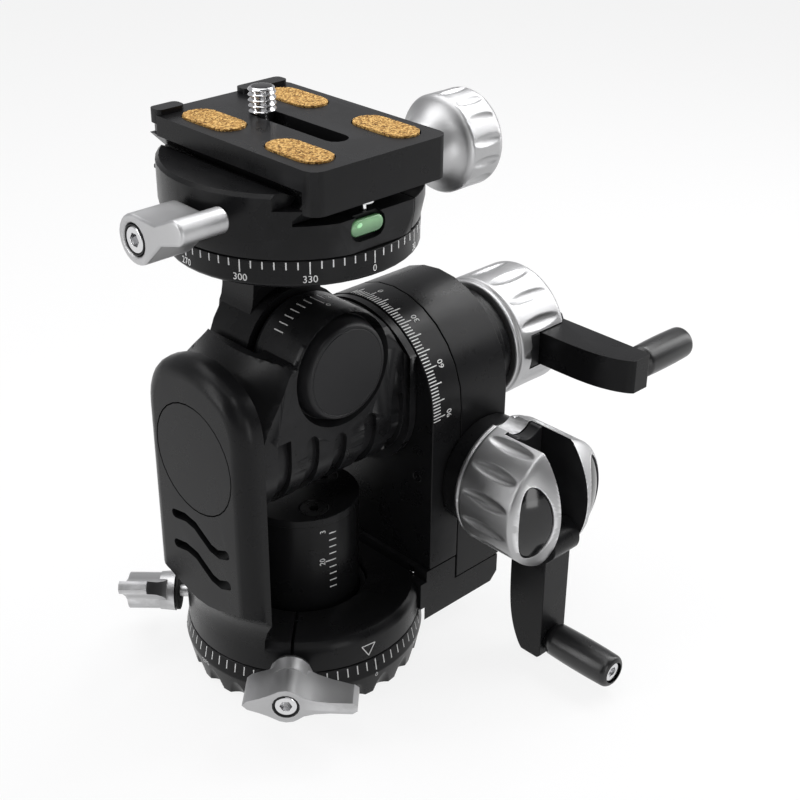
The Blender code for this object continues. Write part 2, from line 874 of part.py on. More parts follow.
def make_worm_a(parent):
    worm = make_worm("worm_a", neck_module, neck_worm_radius, worm_a_outer, knob_a_start - fit)
    worm.data.transform(Matrix.Translation((0, 0, barrel_height)))
    return finished(worm, "steel", (0, 0, barrel_height), parent)


def make_worm_b(parent):
    worm = make_worm("worm_b", barrel_module, barrel_worm_radius, worm_b_outer,
                     knob_b_start - fit)
    worm.data.transform(Matrix.Rotation(-math.pi / 2, 4, "Z"))
    worm.data.transform(Matrix.Translation((gear_place, 0, knob_b_height)))
    return finished(worm, "steel", (gear_place, 0, knob_b_height), parent)


def make_neck_wheel(parent):
    wheel = prism("neck_wheel", wheel_outline(neck_module, -math.pi / 2), "y",
                  -neck_wheel_half_width, neck_wheel_half_width)
    wheel.data.transform(Matrix.Translation((0, 0, cross_height)))
    cut(wheel, rod("bore", hinge_pin_radius + fit, "y", (0, cross_height),
                   -hub_front, hub_front, sides_small))
    return finished(wheel, "brass", (0, 0, cross_height), parent)


def make_barrel_wheel(parent):
    wheel = prism("barrel_wheel", wheel_outline(barrel_module, -math.pi / 2), "x",
                  gear_place - barrel_wheel_half_width, gear_place + barrel_wheel_half_width)
    wheel.data.transform(Matrix.Translation((0, 0, barrel_height)))
    cut(wheel, rod("bore", axle_radius + fit, "x", (0, barrel_height), tower_seam, tower_back))
    return finished(wheel, "brass", (0, 0, barrel_height), parent)


# Barrel

def head_outline(radius):
    """Outline in Y and Z of a head that is round above and drawn in below to the body."""
    rise = math.degrees(math.asin((head_low_height - barrel_height) / radius))
    crown = arc((0, barrel_height), radius, rise, 180 - rise)
    inner = barrel_radius - overrun
    return [(0, barrel_height - inner), (inner, barrel_height)] + crown + [(-inner, barrel_height)]


def make_barrel(parent):
    centre, cross = (0, barrel_height), (0, cross_height)
    barrel = rod("barrel", barrel_radius, "x", centre, -barrel_left, barrel_right)
    left_head = prism("left_head", head_outline(head_radius), "x", -barrel_left, -head_right / 2)
    cut(left_head, rod("curve", hub_radius - fit, "y", cross, -head_radius - overrun,
                       head_radius + overrun))
    right_head = prism("right_head", head_outline(head_radius), "x", right_head_left / 2,
                       barrel_right)
    lean = box("lean", (0, right_head_left), (-head_radius, head_radius),
               (cross_height, cross_height + head_radius))
    cut(right_head, rod("curve", hub_radius - fit, "y", cross, -head_radius - overrun,
                        head_radius + overrun), lean)
    for head in (left_head, right_head):
        cut(head, rod("scoop", scoop_radius, "y", cross, -scoop_front, head_radius + overrun))
    disc = rod("disc", right_disc_radius, "x", centre, right_disc_left, barrel_right)
    hub = turned("hub", [
        (0, -hub_front), (hub_radius, -hub_front), (hub_radius, -hub_back - hub_chamfer),
        (hub_radius - hub_chamfer / 2, -hub_back), (0, -hub_back),
    ], "y", cross, sides_mid)
    axle = rod("axle", axle_radius, "x", centre, barrel_right - overrun, tower_back)
    join(barrel, left_head, right_head, disc, axle)
    make_grooves(barrel)
    join(barrel, hub)
    cut(barrel, rod("wheel_room", neck_wheel_cavity, "y", cross, -neck_front, neck_front))
    cut(barrel, rod("neck_room", neck_low_radius + fit + fit / 3, "y", cross, 0,
                    barrel_radius + overrun))
    high_room = rod("high_room", neck_radius + fit + fit / 3, "y", cross, 0,
                    barrel_radius + overrun)
    low = cross_height - neck_radius * math.sin(math.radians(neck_tilt_most)) - overrun
    keep(high_room, box("high", (-head_radius, head_radius), (-overrun, head_radius),
                        (low, cross_height + head_radius)))
    cut(barrel, high_room)
    cut(barrel, rod("pin_hole", hinge_pin_radius + fit, "y", cross, -hinge_pin_front - fit,
                    0, sides_small))
    cut(barrel, rod("arm_pin_hole", arm_pin_radius + fit, "x", centre, -barrel_left - overrun,
                    -barrel_left + arm_pin_reach + fit, sides_small))
    worm_tail = worm_half_length(neck_module) + worm_a_outer + fit
    cut(barrel, rod("worm_bore", worm_a_bore, "x", centre, -worm_tail, tower_back + overrun,
                    sides_small))
    return finished(barrel, "black_anodised", (0, 0, barrel_height), parent)


def make_grooves(barrel):
    """Shallow grooves round the barrel's underside, open to the front."""
    for x, rise in groove_places:
        turn = math.degrees(math.asin(rise / barrel_radius))
        centre, start, end = (0, barrel_height), 180 - turn, 360 + turn
        outer = arc(centre, barrel_radius + overrun, start, end, groove_steps)
        inner = arc(centre, barrel_radius - groove_depth, start, end, groove_steps)
        outline = outer + inner[::-1]
        cut(barrel, prism("groove", outline, "x", x - groove_width / 2, x + groove_width / 2))


def make_hub_cap(parent):
    face = -hub_front - cap_proud
    cap = turned("hub_cap", [
        (0, face), (cap_radius - fit, face), (cap_radius, face + fit),
        (cap_radius, -hub_front - fit - cap_flange), (cap_flange_radius, -hub_front - fit - cap_flange),
        (cap_flange_radius, -hub_front - fit), (0, -hub_front - fit),
    ], "y", (0, cross_height), sides_mid)
    return finished(cap, "black_satin", parent=parent)


def make_hinge_pin(parent):
    neck_face = neck_back + fit
    pin = turned("hinge_pin", [
        (0, -hinge_pin_front), (hinge_pin_radius, -hinge_pin_front),
        (hinge_pin_radius, neck_face), (hinge_pin_head_radius, neck_face),
        (hinge_pin_head_radius, neck_face + hinge_pin_head), (0, neck_face + hinge_pin_head),
    ], "y", (0, cross_height), sides_small)
    return finished(pin, "steel", parent=parent)


def make_collar_a(parent):
    inner = worm_a_bore
    collar = turned("collar_a", [
        (inner, tower_back + fit), (collar_radius, tower_back + fit),
        (collar_radius, collar_step), (collar_step_radius, collar_step),
        (collar_step_radius, collar_a_end), (inner, collar_a_end),
    ], "x", (0, barrel_height), sides_mid)
    centre = (collar_screw_x(), barrel_height)
    cut(collar, rod("screw_hole", collar_screw_radius + fit, "y", centre,
                    -collar_radius - overrun, -worm_a_bore - fit, sides_tiny))
    return finished(collar, "black_anodised", parent=parent)


def collar_screw_x():
    return (tower_back + collar_step) / 2


def make_collar_a_screw(parent):
    centre = (collar_screw_x(), barrel_height)
    head = -collar_radius + fit
    screw = rod("collar_a_screw", collar_screw_radius, "y", centre, head,
                head + collar_screw_length, sides_tiny)
    cut(screw, hex_recess("hex", collar_screw_radius / 2, "y", centre, head - overrun,
                          head + collar_screw_radius))
    return finished(screw, "dark_steel", parent=parent)


def make_collar_b(parent):
    rear = -tower_radius - fit
    collar = turned("collar_b", [
        (worm_b_bore, rear), (collar_b_radius, rear), (collar_b_radius, rear - collar_b_length),
        (worm_b_bore, rear - collar_b_length),
    ], "y", (gear_place, knob_b_height), sides_mid)
    return finished(collar, "black_anodised", parent=parent)


# Neck and pan ring

def make_neck(parent):
    cross = (0, cross_height)
    neck = rod("neck", neck_low_radius, "y", cross, neck_front, neck_back)
    shell = rod("shell", neck_radius, "y", cross, fit, neck_back)
    cut(shell, rod("wheel_recess", neck_wheel_cavity, "y", cross, -overrun, neck_front),
        box("lower_half", (-head_radius, head_radius), (-overrun, head_radius),
            (cross_height - head_radius, cross_height)))
    turn = math.radians(neck_flare_angle)
    root = (neck_radius * math.cos(turn), cross_height + neck_radius * math.sin(turn))
    flare = [(neck_low_radius, cross_height)]
    flare += bent(root, (neck_block_half, cross_height + neck_low_radius),
                  (neck_block_half, neck_boss_bottom + overrun), 4)
    block = prism("block", [(-x, z) for x, z in flare] + [(-neck_block_half, neck_top),
                  (neck_block_half, neck_top)] + flare[::-1], "y", neck_front, neck_block_back)
    join(neck, shell, block)
    boss = rod("boss", neck_boss_radius, "z", (0, 0), neck_boss_bottom, neck_top)
    join(neck, boss)
    cut(neck, rod("head_room", hinge_pin_head_radius + fit, "y", cross, neck_back,
                  neck_block_back + overrun))
    cut(neck, rod("bore", hinge_pin_radius + fit, "y", cross, -overrun,
                  neck_block_back + overrun, sides_small))
    return finished(neck, "black_anodised", (0, 0, cross_height), parent)


def make_pan_ring(parent):
    bottom = neck_top + fit
    spindle_top = pan_ring_top + pan_spindle_height
    ring = turned("pan_ring", [
        (0, bottom), (pan_ring_radius - pan_ring_bevel, bottom),
        (pan_ring_radius, bottom + pan_ring_bevel), (pan_ring_radius, pan_ring_top),
        (pan_spindle_radius, pan_ring_top), (pan_spindle_radius, spindle_top), (0, spindle_top),
    ], "z", (0, 0), sides_large)
    return finished(ring, "black_anodised", (0, 0, cross_height), parent)


# Clamp

def clamp_round(name, bottom, top):
    edge = jaw_edge_bevel
    return turned(name, [
        (0, bottom), (clamp_low_radius, bottom), (clamp_radius, clamp_flare_height),
        (clamp_radius, top - edge), (clamp_radius - edge, top), (0, top),
    ], "z", (0, 0), sides_large)


def channel_outline():
    """Half of the dovetail channel in X and Z, on the +X side, wider than the plate by the fit."""
    side = fit * math.sqrt(2)
    waist = dovetail_waist + side
    foot = dovetail_foot + fit
    rise = foot - waist
    foot_top_height = dovetail_waist_bottom - rise + (side - fit)
    return [
        (foot, channel_floor), (foot, foot_top_height),
        (waist, dovetail_waist_bottom + (side - fit)),
        (waist, dovetail_waist_bottom + fit + fit), (jaw_lip_edge, jaw_top + fit / 3),
        (jaw_lip_edge, plate_side_bottom),
    ]


def jaw_end_trims():
    """Boxes that end the jaws' raised lips short of the plate's front flange."""
    return [box("lip_end", (-clamp_radius - overrun, clamp_radius + overrun + jaw_opening),
                (-clamp_radius - overrun, -jaw_lip_end), (clamp_top, jaw_top + overrun))]


def make_clamp_body(parent):
    body = clamp_round("clamp_body", clamp_bottom, jaw_top)
    right = channel_outline()
    channel = [(-x, z) for x, z in right][::-1] + right
    cut(body, prism("channel", channel, "y", -clamp_radius - overrun, clamp_radius + overrun))
    cut(body, *jaw_end_trims())
    cut(body, box("jaw_room", (clamp_split, clamp_radius + overrun),
                  (-clamp_radius - overrun, clamp_radius + overrun),
                  (clamp_bottom - overrun, jaw_top + overrun)))
    cut(body, box("facet", (-clamp_radius, clamp_radius), (-clamp_radius - overrun, -clamp_facet),
                  (clamp_bottom - overrun, jaw_top + overrun)))
    for side in (-guide_side, guide_side):
        join(body, rod("guide", guide_radius, "x", (side, guide_height),
                       clamp_split - overrun, clamp_split + guide_reach, sides_tiny))
    cut(body, rod("spindle_room", pan_spindle_radius + fit, "z", (0, 0), clamp_bottom - overrun,
                  pan_ring_top + pan_spindle_height + fit, sides_small))
    cut(body, rod("screw_room", clamp_screw_radius + fit, "x", (0, clamp_screw_height),
                  clamp_screw_end - fit, clamp_split + overrun, sides_small))
    cut(body, box("pin_notch", (pin_notch_left, pin_notch_right),
                  (-clamp_facet - overrun, pin_y + pin_radius + fit),
                  (clamp_top - pin_notch_depth, clamp_top + overrun)))
    cut(body, turned("pin_hole", [
        (0, pin_bottom - pin_travel - fit), (pin_stem_radius + fit, pin_bottom - pin_travel - fit),
        (pin_stem_radius + fit, pin_top - pin_head - pin_travel - fit),
        (pin_radius + fit, pin_top - pin_head - pin_travel - fit),
        (pin_radius + fit, clamp_top + overrun), (0, clamp_top + overrun),
    ], "z", (pin_x, pin_y), sides_small))
    cut(body, prism("level_seat", level_outline(fit), "y", -clamp_facet - overrun,
                    -clamp_facet + level_depth + fit))
    cut(body, rod("lever_hole", lever_shaft_radius + fit, "x", (lever_y, lever_height),
                  -clamp_radius - overrun, -lever_start + lever_shaft_reach + fit, sides_small))
    return finished(body, "black_anodised", (0, 0, clamp_bottom), parent)


def make_jaw(parent):
    start = clamp_split + fit
    jaw = clamp_round("jaw", clamp_bottom + fit, jaw_top)
    right = channel_outline()
    cut(jaw, prism("channel", [(0, channel_floor)] + right + [(0, plate_side_bottom)], "y",
                   -clamp_radius - overrun, clamp_radius + overrun))
    cut(jaw, *jaw_end_trims())
    cut(jaw, box("body_room", (-clamp_radius - overrun, start),
                 (-clamp_radius - overrun, clamp_radius + overrun),
                 (clamp_bottom - overrun, jaw_top + overrun)))
    for side in (-guide_side, guide_side):
        cut(jaw, rod("guide_hole", guide_radius + fit, "x", (side, guide_height),
                     clamp_split, clamp_split + guide_reach + fit, sides_tiny))
    cut(jaw, rod("screw_hole", clamp_screw_radius + fit, "x", (0, clamp_screw_height),
                 clamp_split, clamp_radius + overrun, sides_small))
    return finished(jaw, "black_anodised", (clamp_split, 0, clamp_screw_height), parent)


def level_outline(margin):
    return rounded_box(level_left - margin, level_right + margin,
                       level_height - level_half_height - margin,
                       level_height + level_half_height + margin, level_half_height + margin - fit)


def make_level(parent):
    level = prism("bubble_level", level_outline(0), "y", -clamp_facet + fit,
                  -clamp_facet + level_depth)
    return finished(level, "level_green", parent=parent)


def make_safety_pin(parent):
    pin = turned("safety_pin", [
        (0, pin_bottom), (pin_stem_radius, pin_bottom), (pin_stem_radius, pin_top - pin_head),
        (pin_radius, pin_top - pin_head), (pin_radius, pin_top - fit),
        (pin_radius - fit, pin_top), (0, pin_top),
    ], "z", (pin_x, pin_y), sides_small)
    return finished(pin, "steel", (pin_x, pin_y, pin_bottom), parent)


def lens_flutes(count, axis, centre, radius, depth, cutter_radius, start, end):
    """Slim spindle-shaped cutters set round a knob, whose ends rise clear of its skin."""
    cutters = []
    middle, half = (start + end) / 2, (end - start) / 2
    for index in range(count):
        angle = 2 * math.pi * (index + 1 / 2) / count
        reach = radius + cutter_radius - depth
        place = (centre[0] + reach * math.cos(angle), centre[1] + reach * math.sin(angle))
        profile = [(0, middle - half)]
        for share in (-0.6, 0.6):
            profile.append((cutter_radius * math.sqrt(1 - share * share), middle + half * share))
        profile.append((0, middle + half))
        cutters.append(turned("flute", profile, axis, place, sides_tiny))
    return cutters


def make_clamp_knob(parent):
    centre = (0, clamp_screw_height)
    flare = bent((clamp_knob_neck_radius, clamp_knob_start),
                 (clamp_knob_neck_radius, clamp_knob_flare - overrun),
                 (clamp_knob_radius - 2 * fit, clamp_knob_flare), 4)
    round_end = arc((clamp_knob_end - clamp_knob_round, clamp_knob_radius - clamp_knob_round),
                    clamp_knob_round, 90, 0, fillet_steps)
    profile = [(0, clamp_screw_end), (clamp_screw_radius, clamp_screw_end),
               (clamp_screw_radius, clamp_knob_start)] + flare
    profile += [(clamp_knob_radius, clamp_knob_flare + 2 * fit)]
    profile += [(radius, x) for x, radius in round_end] + [(0, clamp_knob_end)]
    knob = turned("clamp_knob", profile, "x", centre, sides_mid)
    for flute in lens_flutes(clamp_knob_flutes, "x", centre, clamp_knob_radius,
                             clamp_knob_flute_depth, clamp_knob_flute_radius,
                             clamp_knob_flare - overrun, clamp_knob_end):
        cut(knob, flute)
    return finished(knob, "silver_anodised", (clamp_knob_start, 0, clamp_screw_height), parent)


def lever_outline():
    """Section of the lever in Y and Z before it is tilted: a round hub and one wing along -Y."""
    hub = arc((0, 0), lever_hub_radius, -110, 110)
    tip = arc((-lever_reach + lever_tip / 2, 0), lever_tip / 2, 90, 270)
    waist_place = (lever_reach - lever_tip + lever_hub_radius) / 2
    upper = [(-waist_place, lever_waist / 2 + fit)]
    lower = [(-waist_place, -lever_waist / 2 - fit)]
    return hub + upper + tip + lower


def make_lever(parent):
    centre = (lever_y, lever_height)
    lever = prism("pan_lever", lever_outline(), "x", -lever_end, -lever_start)
    lever.data.transform(Matrix.Rotation(-math.radians(lever_tilt), 4, "X"))
    lever.data.transform(Matrix.Translation((0, lever_y, lever_height)))
    join(lever, rod("shaft", lever_shaft_radius, "x", centre, -lever_start - overrun,
                    -lever_start + lever_shaft_reach, sides_small))
    cut(lever, rod("screw_seat", lever_screw_radius + fit, "x", centre, -lever_end - overrun,
                   -lever_end + lever_screw_depth + fit, sides_small))
    return finished(lever, "silver_anodised", (-lever_start, lever_y, lever_height), parent)


def socket_screw(name, radius, axis, centre, face, depth, inward):
    """Round socket screw whose face looks along the axis, inward being +1 or -1 into the seat."""
    low, high = sorted((face, face + inward * depth))
    screw = rod(name, radius, axis, centre, low, high, sides_small)
    hex_low, hex_high = sorted((face - inward * overrun, face + inward * depth / 2))
    return cut(screw, hex_recess("hex", radius / 2, axis, centre, hex_low, hex_high))


def make_lever_screw(parent):
    screw = socket_screw("pan_lever_screw", lever_screw_radius, "x", (lever_y, lever_height),
                         -lever_end, lever_screw_depth, 1)
    return finished(screw, "steel", parent=parent)


# Plate

def plate_section():
    """Right half of the plate's section in X and Z, from the bottom up."""
    drop = plate_half_width - dovetail_waist
    spread = dovetail_foot - dovetail_waist
    return [
        (dovetail_foot, plate_bottom), (dovetail_foot, dovetail_waist_bottom - spread),
        (dovetail_waist, dovetail_waist_bottom), (dovetail_waist, plate_side_bottom - drop),
        (plate_half_width, plate_side_bottom),
    ]


def make_plate(parent):
    half = plate_section()
    low = half + [(-x, z) for x, z in half][::-1]
    plate = prism("plate", low, "y", -dovetail_front, plate_back)
    plan = rounded_box(-plate_half_width, plate_half_width, -plate_front, plate_back, plate_corner)
    top = prism("top", plan, "z", plate_side_bottom - fit, plate_top)
    join(plate, top)
    flange = prism("flange", plan, "z", flange_bottom, plate_side_bottom)
    keep(flange, box("front", (-clamp_radius, clamp_radius), (-clamp_radius - overrun, -flange_back),
                     (flange_bottom - overrun, plate_top)))
    join(plate, flange)
    for left, right in (lip_left, lip_right):
        lip = prism("lip", rounded_box(left, right, plate_back - lip_depth, plate_back,
                                       lip_depth / 3), "z", plate_top - overrun,
                    plate_top + lip_height)
        join(plate, lip)
    slot = rounded_box(camera_slot_x - camera_slot_half, camera_slot_x + camera_slot_half,
                       camera_slot_front - camera_slot_half, camera_screw_y + camera_slot_half,
                       camera_slot_half - fit / 3)
    cut(plate, prism("slot", slot, "z", plate_bottom - overrun, plate_top + overrun))
    room = camera_head_radius + fit
    recess = rounded_box(camera_slot_x - room, camera_slot_x + room, camera_slot_front - room,
                         camera_screw_y + room, room - fit / 3)
    ceiling = camera_head_top + fit + camera_washer + fit
    cut(plate, prism("recess", recess, "z", plate_bottom - overrun, ceiling))
    pin_room = pin_radius + fit
    cut(plate, box("pin_groove", (pin_x - pin_room, pin_x + pin_room),
                   (-dovetail_front - overrun, pin_y + plate_travel + pin_room),
                   (plate_bottom - overrun, pin_top + fit)))
    for x, y in pad_places:
        seat = pad_outline(x, y, fit)
        cut(plate, prism("seat", seat, "z", plate_top - pad_sink - fit, plate_top + overrun))
    return finished(plate, "black_anodised", (0, 0, plate_bottom), parent)


def pad_outline(x, y, margin):
    return rounded_box(x - pad_half_width - margin, x + pad_half_width + margin,
                       y - pad_half_length - margin, y + pad_half_length + margin,
                       pad_half_width + margin - fit / 3)


def make_pad(number, x, y, parent):
    bottom = plate_top - pad_sink
    pad = prism(f"cork_pad_{number}", pad_outline(x, y, 0), "z", bottom, bottom + pad_thickness)
    return finished(pad, "cork", parent=parent)


def make_camera_washer(parent):
    low = camera_head_top + fit
    hole = camera_neck_radius + fit
    washer = turned("camera_washer", [
        (hole, low), (camera_washer_radius, low), (camera_washer_radius, low + camera_washer),
        (hole, low + camera_washer),
    ], "z", (camera_slot_x, camera_screw_y), sides_small)
    return finished(washer, "dark_steel", (camera_slot_x, camera_screw_y, low), parent)


def make_camera_screw(parent):
    centre = (camera_slot_x, camera_screw_y)
    screw = turned("camera_screw", [
        (0, camera_head_bottom), (camera_head_radius, camera_head_bottom),
        (camera_head_radius, camera_head_top), (camera_neck_radius, camera_head_top),
        (camera_neck_radius, camera_thread_start), (camera_thread_radius, camera_thread_start),
        (camera_thread_radius, camera_screw_top - 2 * fit),
        (camera_thread_radius - 2 * fit, camera_screw_top), (0, camera_screw_top),
    ], "z", centre, sides_small)
    cut(screw, box("coin_slot", (centre[0] - camera_head_radius - overrun,
                                 centre[0] + camera_head_radius + overrun),
                   (centre[1] - camera_coin_slot / 2, centre[1] + camera_coin_slot / 2),
                   (camera_head_bottom - overrun, camera_head_bottom + camera_coin_slot)))
    return finished(screw, "steel", (centre[0], centre[1], camera_head_bottom), parent)


# Crank knobs, drawn along +X (u), -Y (v) and Z (w) from the rear rim's centre at the origin

def knob_profile(shrink):
    """Outer profile of the knob as (radius, u), drawn in evenly by the shrink."""
    rim = 3 * knob_gap
    dome = bent((knob_radius, knob_edge), (knob_radius - rim, knob_length), (0, knob_length), 7)
    outer = [(knob_rim_radius, 0), (knob_radius, rim)] + dome
    return [(max(radius - shrink, 0), u - shrink if u > rim else u) for radius, u in outer]


def inlay_outline(side, margin):
    """Oval in w and v on one side of the slot, flatter toward the slot."""
    points = []
    count = sides_small
    for index in range(count):
        angle = 2 * math.pi * index / count
        points.append((side * inlay_place + (inlay_half_width + margin) * math.cos(angle),
                       (inlay_half_length + margin) * math.sin(angle)))
    return points


def make_knob_body(name):
    body = turned(name, [(0, 0)] + knob_profile(0), "x", (0, 0), sides_mid)
    for flute in lens_flutes(knob_flutes, "x", (0, 0), knob_radius, knob_flute_depth,
                             knob_flute_radius, knob_flute_start - overrun,
                             knob_flute_end + overrun):
        cut(body, flute)
    floor = knob_slot_floor - knob_insert_thickness - fit
    cut(body, box("slot", (floor, knob_length + overrun),
                  (-knob_radius - overrun, knob_radius + overrun),
                  (-knob_slot_half, knob_slot_half)))
    cut(body, rod("grip_groove", grip_groove_radius, "x", (grip_groove_place, 0), -overrun,
                  knob_length + overrun, sides_small))
    for side in (-1, 1):
        outline = [(v, w) for w, v in inlay_outline(side, fit)]
        cut(body, prism("inlay_seat", outline, "x", inlay_floor - fit, knob_length + overrun))
    return body


def make_knob_insert(name):
    outline = rounded_box(-knob_insert_radius, knob_insert_radius, -knob_slot_half + fit,
                          knob_slot_half - fit, fit)
    low = knob_slot_floor - knob_insert_thickness
    insert = prism(name, outline, "x", low, knob_slot_floor)
    return cut(insert, rod("grip_groove", grip_groove_radius, "x", (grip_groove_place, 0),
                           low - overrun, knob_slot_floor + overrun, sides_small))


def make_inlay(name, side):
    outline = [(v, w) for w, v in inlay_outline(side, 0)]
    inlay = prism(name, outline, "x", inlay_floor, knob_length)
    skin = turned("skin", [(0, 0)] + knob_profile(inlay_sink), "x", (0, 0), sides_mid)
    return keep(inlay, skin)


def make_crank(name):
    """Crank arm with a round pivot boss, folded out along v, which is -Y here."""
    boss = arc((pivot_u, pivot_v), pivot_round, 30, -140)
    top = [(crank_high, pivot_v + pivot_round)]
    tip = [(crank_bow[-1][0] + crank_tip_edge, crank_length),
           (crank_high - crank_tip_edge, crank_length), (crank_high, crank_length - crank_tip_edge)]
    outline = [(u, v) for u, v in boss] + list(crank_heel) + list(crank_bow) + tip + top
    crank = prism(name, [(u, -v) for u, v in outline], "z", -crank_half_width, crank_half_width)
    return crank


def make_grip(name):
    start = crank_high + fit
    round_end = arc((grip_end - grip_round, grip_radius - grip_round), grip_round, 90, 0,
                    fillet_steps)
    profile = [(0, start), (grip_neck_radius, start), (grip_neck_radius, start + grip_neck),
               (grip_radius, start + grip_neck)]
    profile += [(radius, u) for u, radius in round_end] + [(0, grip_end)]
    centre = (-grip_place, 0)
    grip = turned(name, profile, "x", centre, sides_small)
    return cut(grip, rod("screw_seat", grip_screw_radius + fit, "x", centre,
                         grip_end - grip_screw_depth, grip_end + overrun, sides_small))


def make_grip_screw(name):
    return socket_screw(name, grip_screw_radius, "x", (-grip_place, 0), grip_end,
                        grip_screw_depth - fit, -1)


def make_crank_knob(letter, to_world, parent):
    """Seven pieces of one crank knob, set in the world by to_world."""
    axis_point = to_world @ Vector((0, 0, 0))
    pivot_point = to_world @ Vector((pivot_u, -pivot_v, 0))
    grip_point = to_world @ Vector((crank_high, -grip_place, 0))

    def placed(thing, material, pivot, owner):
        thing.data.transform(to_world)
        return finished(thing, material, pivot, owner)

    body = placed(make_knob_body(f"knob_{letter}"), "silver_anodised", axis_point, parent)
    placed(make_knob_insert(f"knob_{letter}_insert"), "black_satin", axis_point, body)
    placed(make_inlay(f"knob_{letter}_inlay_1", -1), "black_satin", axis_point, body)
    placed(make_inlay(f"knob_{letter}_inlay_2", 1), "black_satin", axis_point, body)
    crank = placed(make_crank(f"crank_{letter}"), "black_anodised", pivot_point, body)
    grip = placed(make_grip(f"grip_{letter}"), "black_satin", grip_point, crank)
    placed(make_grip_screw(f"grip_{letter}_screw"), "steel", grip_point, grip)
    return body


# Wing screws, drawn along +X from the column's axis, with the long wing along +Y

def wing_outline():
    """Section in Y and Z: a round hub, a short pointed wing and a long one with a blunt tip."""
    tip_half, waist = wing_tip * wing_tip_shares[0], wing_tip * wing_tip_shares[1]
    shoulder_y, shoulder_z = wing_hub * wing_shoulder_shares[0], wing_hub * wing_shoulder_shares[1]
    upper = bent((wing_long - wing_tip, tip_half), (wing_hub, waist),
                 (shoulder_y, shoulder_z), 4)
    tip = arc((wing_long - tip_half, 0), tip_half, -80, 80, fillet_steps)
    left = bent((-shoulder_y, shoulder_z), (-wing_hub, shoulder_y),
                (-wing_short + waist, waist), 3)
    crown = arc((0, 0), wing_hub, 50, 130, 4)
    top = upper + crown[1:-1] + left
    bottom = [(y, -z) for y, z in top][::-1]
    return tip + top + [(-wing_short, 0)] + bottom


def make_wing(number, angle, turn, parent):
    body = prism(f"wing_{number}", wing_outline(), "x", wing_body_start, wing_body_end)
    back = prism("rear", [
        (wing_body_start - overrun, wing_collar_radius), (wing_body_start, wing_collar_radius),
        (wing_back_start, wing_long - wing_tip), (wing_back_start, wing_long + overrun),
        (wing_body_start - overrun, wing_long + overrun),
    ], "z", -wing_hub - overrun, wing_hub + overrun)
    cut(body, back)
    collar = turned("collar", [
        (0, wing_shank_start), (wing_shank_radius, wing_shank_start),
        (wing_shank_radius, wing_collar_start + wing_washer_thickness + fit),
        (wing_collar_radius, wing_collar_start + wing_washer_thickness + fit),
        (wing_collar_radius - fit, wing_body_start + overrun), (0, wing_body_start + overrun),
    ], "x", (0, 0), sides_small)
    join(body, collar)
    cut(body, rod("screw_seat", wing_screw_radius + fit, "x", (0, 0),
                  wing_body_end - wing_screw_depth - fit, wing_body_end + overrun, sides_small))
    screw = socket_screw(f"wing_{number}_screw", wing_screw_radius, "x", (0, 0), wing_body_end,
                         wing_screw_depth, -1)
    washer_hole = wing_shank_radius + fit
    washer = turned(f"wing_{number}_washer", [
        (washer_hole, wing_collar_start), (wing_collar_radius - fit, wing_collar_start),
        (wing_collar_radius - fit, wing_collar_start + wing_washer_thickness),
        (washer_hole, wing_collar_start + wing_washer_thickness),
    ], "x", (0, 0), sides_small)
    to_world = (Matrix.Translation((0, 0, wing_height))
                @ Matrix.Rotation(math.radians(angle), 4, "Z")
                @ Matrix.Rotation(math.radians(turn), 4, "X"))
    pivot = to_world @ Vector((wing_collar_start, 0, 0))
    for thing in (body, screw, washer):
        thing.data.transform(to_world)
    finished(body, "silver_anodised", pivot, parent)
    finished(screw, "steel", pivot, body)
    finished(washer, "rubber", pivot, body)


def build():
    clear_scene()
    base = make_base()
    column = make_column(base)
    for number, angle in enumerate(column_screw_angles, 1):
        make_column_screw(number, angle, column)
    sleeve = make_sleeve(base)
    frame = make_frame(sleeve)
    make_dowel(frame)
    make_arm_cover(frame)
    make_arm_pin(frame)
    make_scale_tower(frame)
    make_tower_screw(frame)
    make_gear_housing(frame)
    make_collar_b(frame)
    for number, (angle, turn) in enumerate(zip(wing_angles, wing_turns), 1):
        make_wing(number, angle, turn, frame)

    barrel = make_barrel(frame)
    make_barrel_wheel(barrel)
    make_hub_cap(barrel)
    make_hinge_pin(barrel)
    make_collar_a(barrel)
    make_collar_a_screw(barrel)

    neck = make_neck(barrel)
    make_neck_wheel(neck)
    make_pan_ring(neck)

    clamp = make_clamp_body(neck)
    make_level(clamp)
    make_safety_pin(clamp)
    jaw = make_jaw(clamp)
    make_clamp_knob(jaw)
    lever = make_lever(clamp)
    make_lever_screw(lever)
    plate = make_plate(clamp)
    for number, (x, y) in enumerate(pad_places, 1):
        make_pad(number, x, y, plate)
    washer = make_camera_washer(plate)
    make_camera_screw(washer)

    to_a = Matrix.Translation((knob_a_start, 0, barrel_height))
    knob_a = make_crank_knob("a", to_a, barrel)
    make_worm_a(knob_a)
    # u along -Y, v along -Z and w along -X
    axes_b = Matrix(((0, 0, -1, 0), (-1, 0, 0, 0), (0, 1, 0, 0), (0, 0, 0, 1)))
    to_b = Matrix.Translation((gear_place, -knob_b_start, knob_b_height)) @ axes_b
    knob_b = make_crank_knob("b", to_b, frame)
    make_worm_b(knob_b)


build()
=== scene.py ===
# Geared tripod head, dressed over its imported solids. Lengths in the dictionaries are millimetres.
import json
import math

import bmesh
import bpy
from mathutils import Matrix, Vector


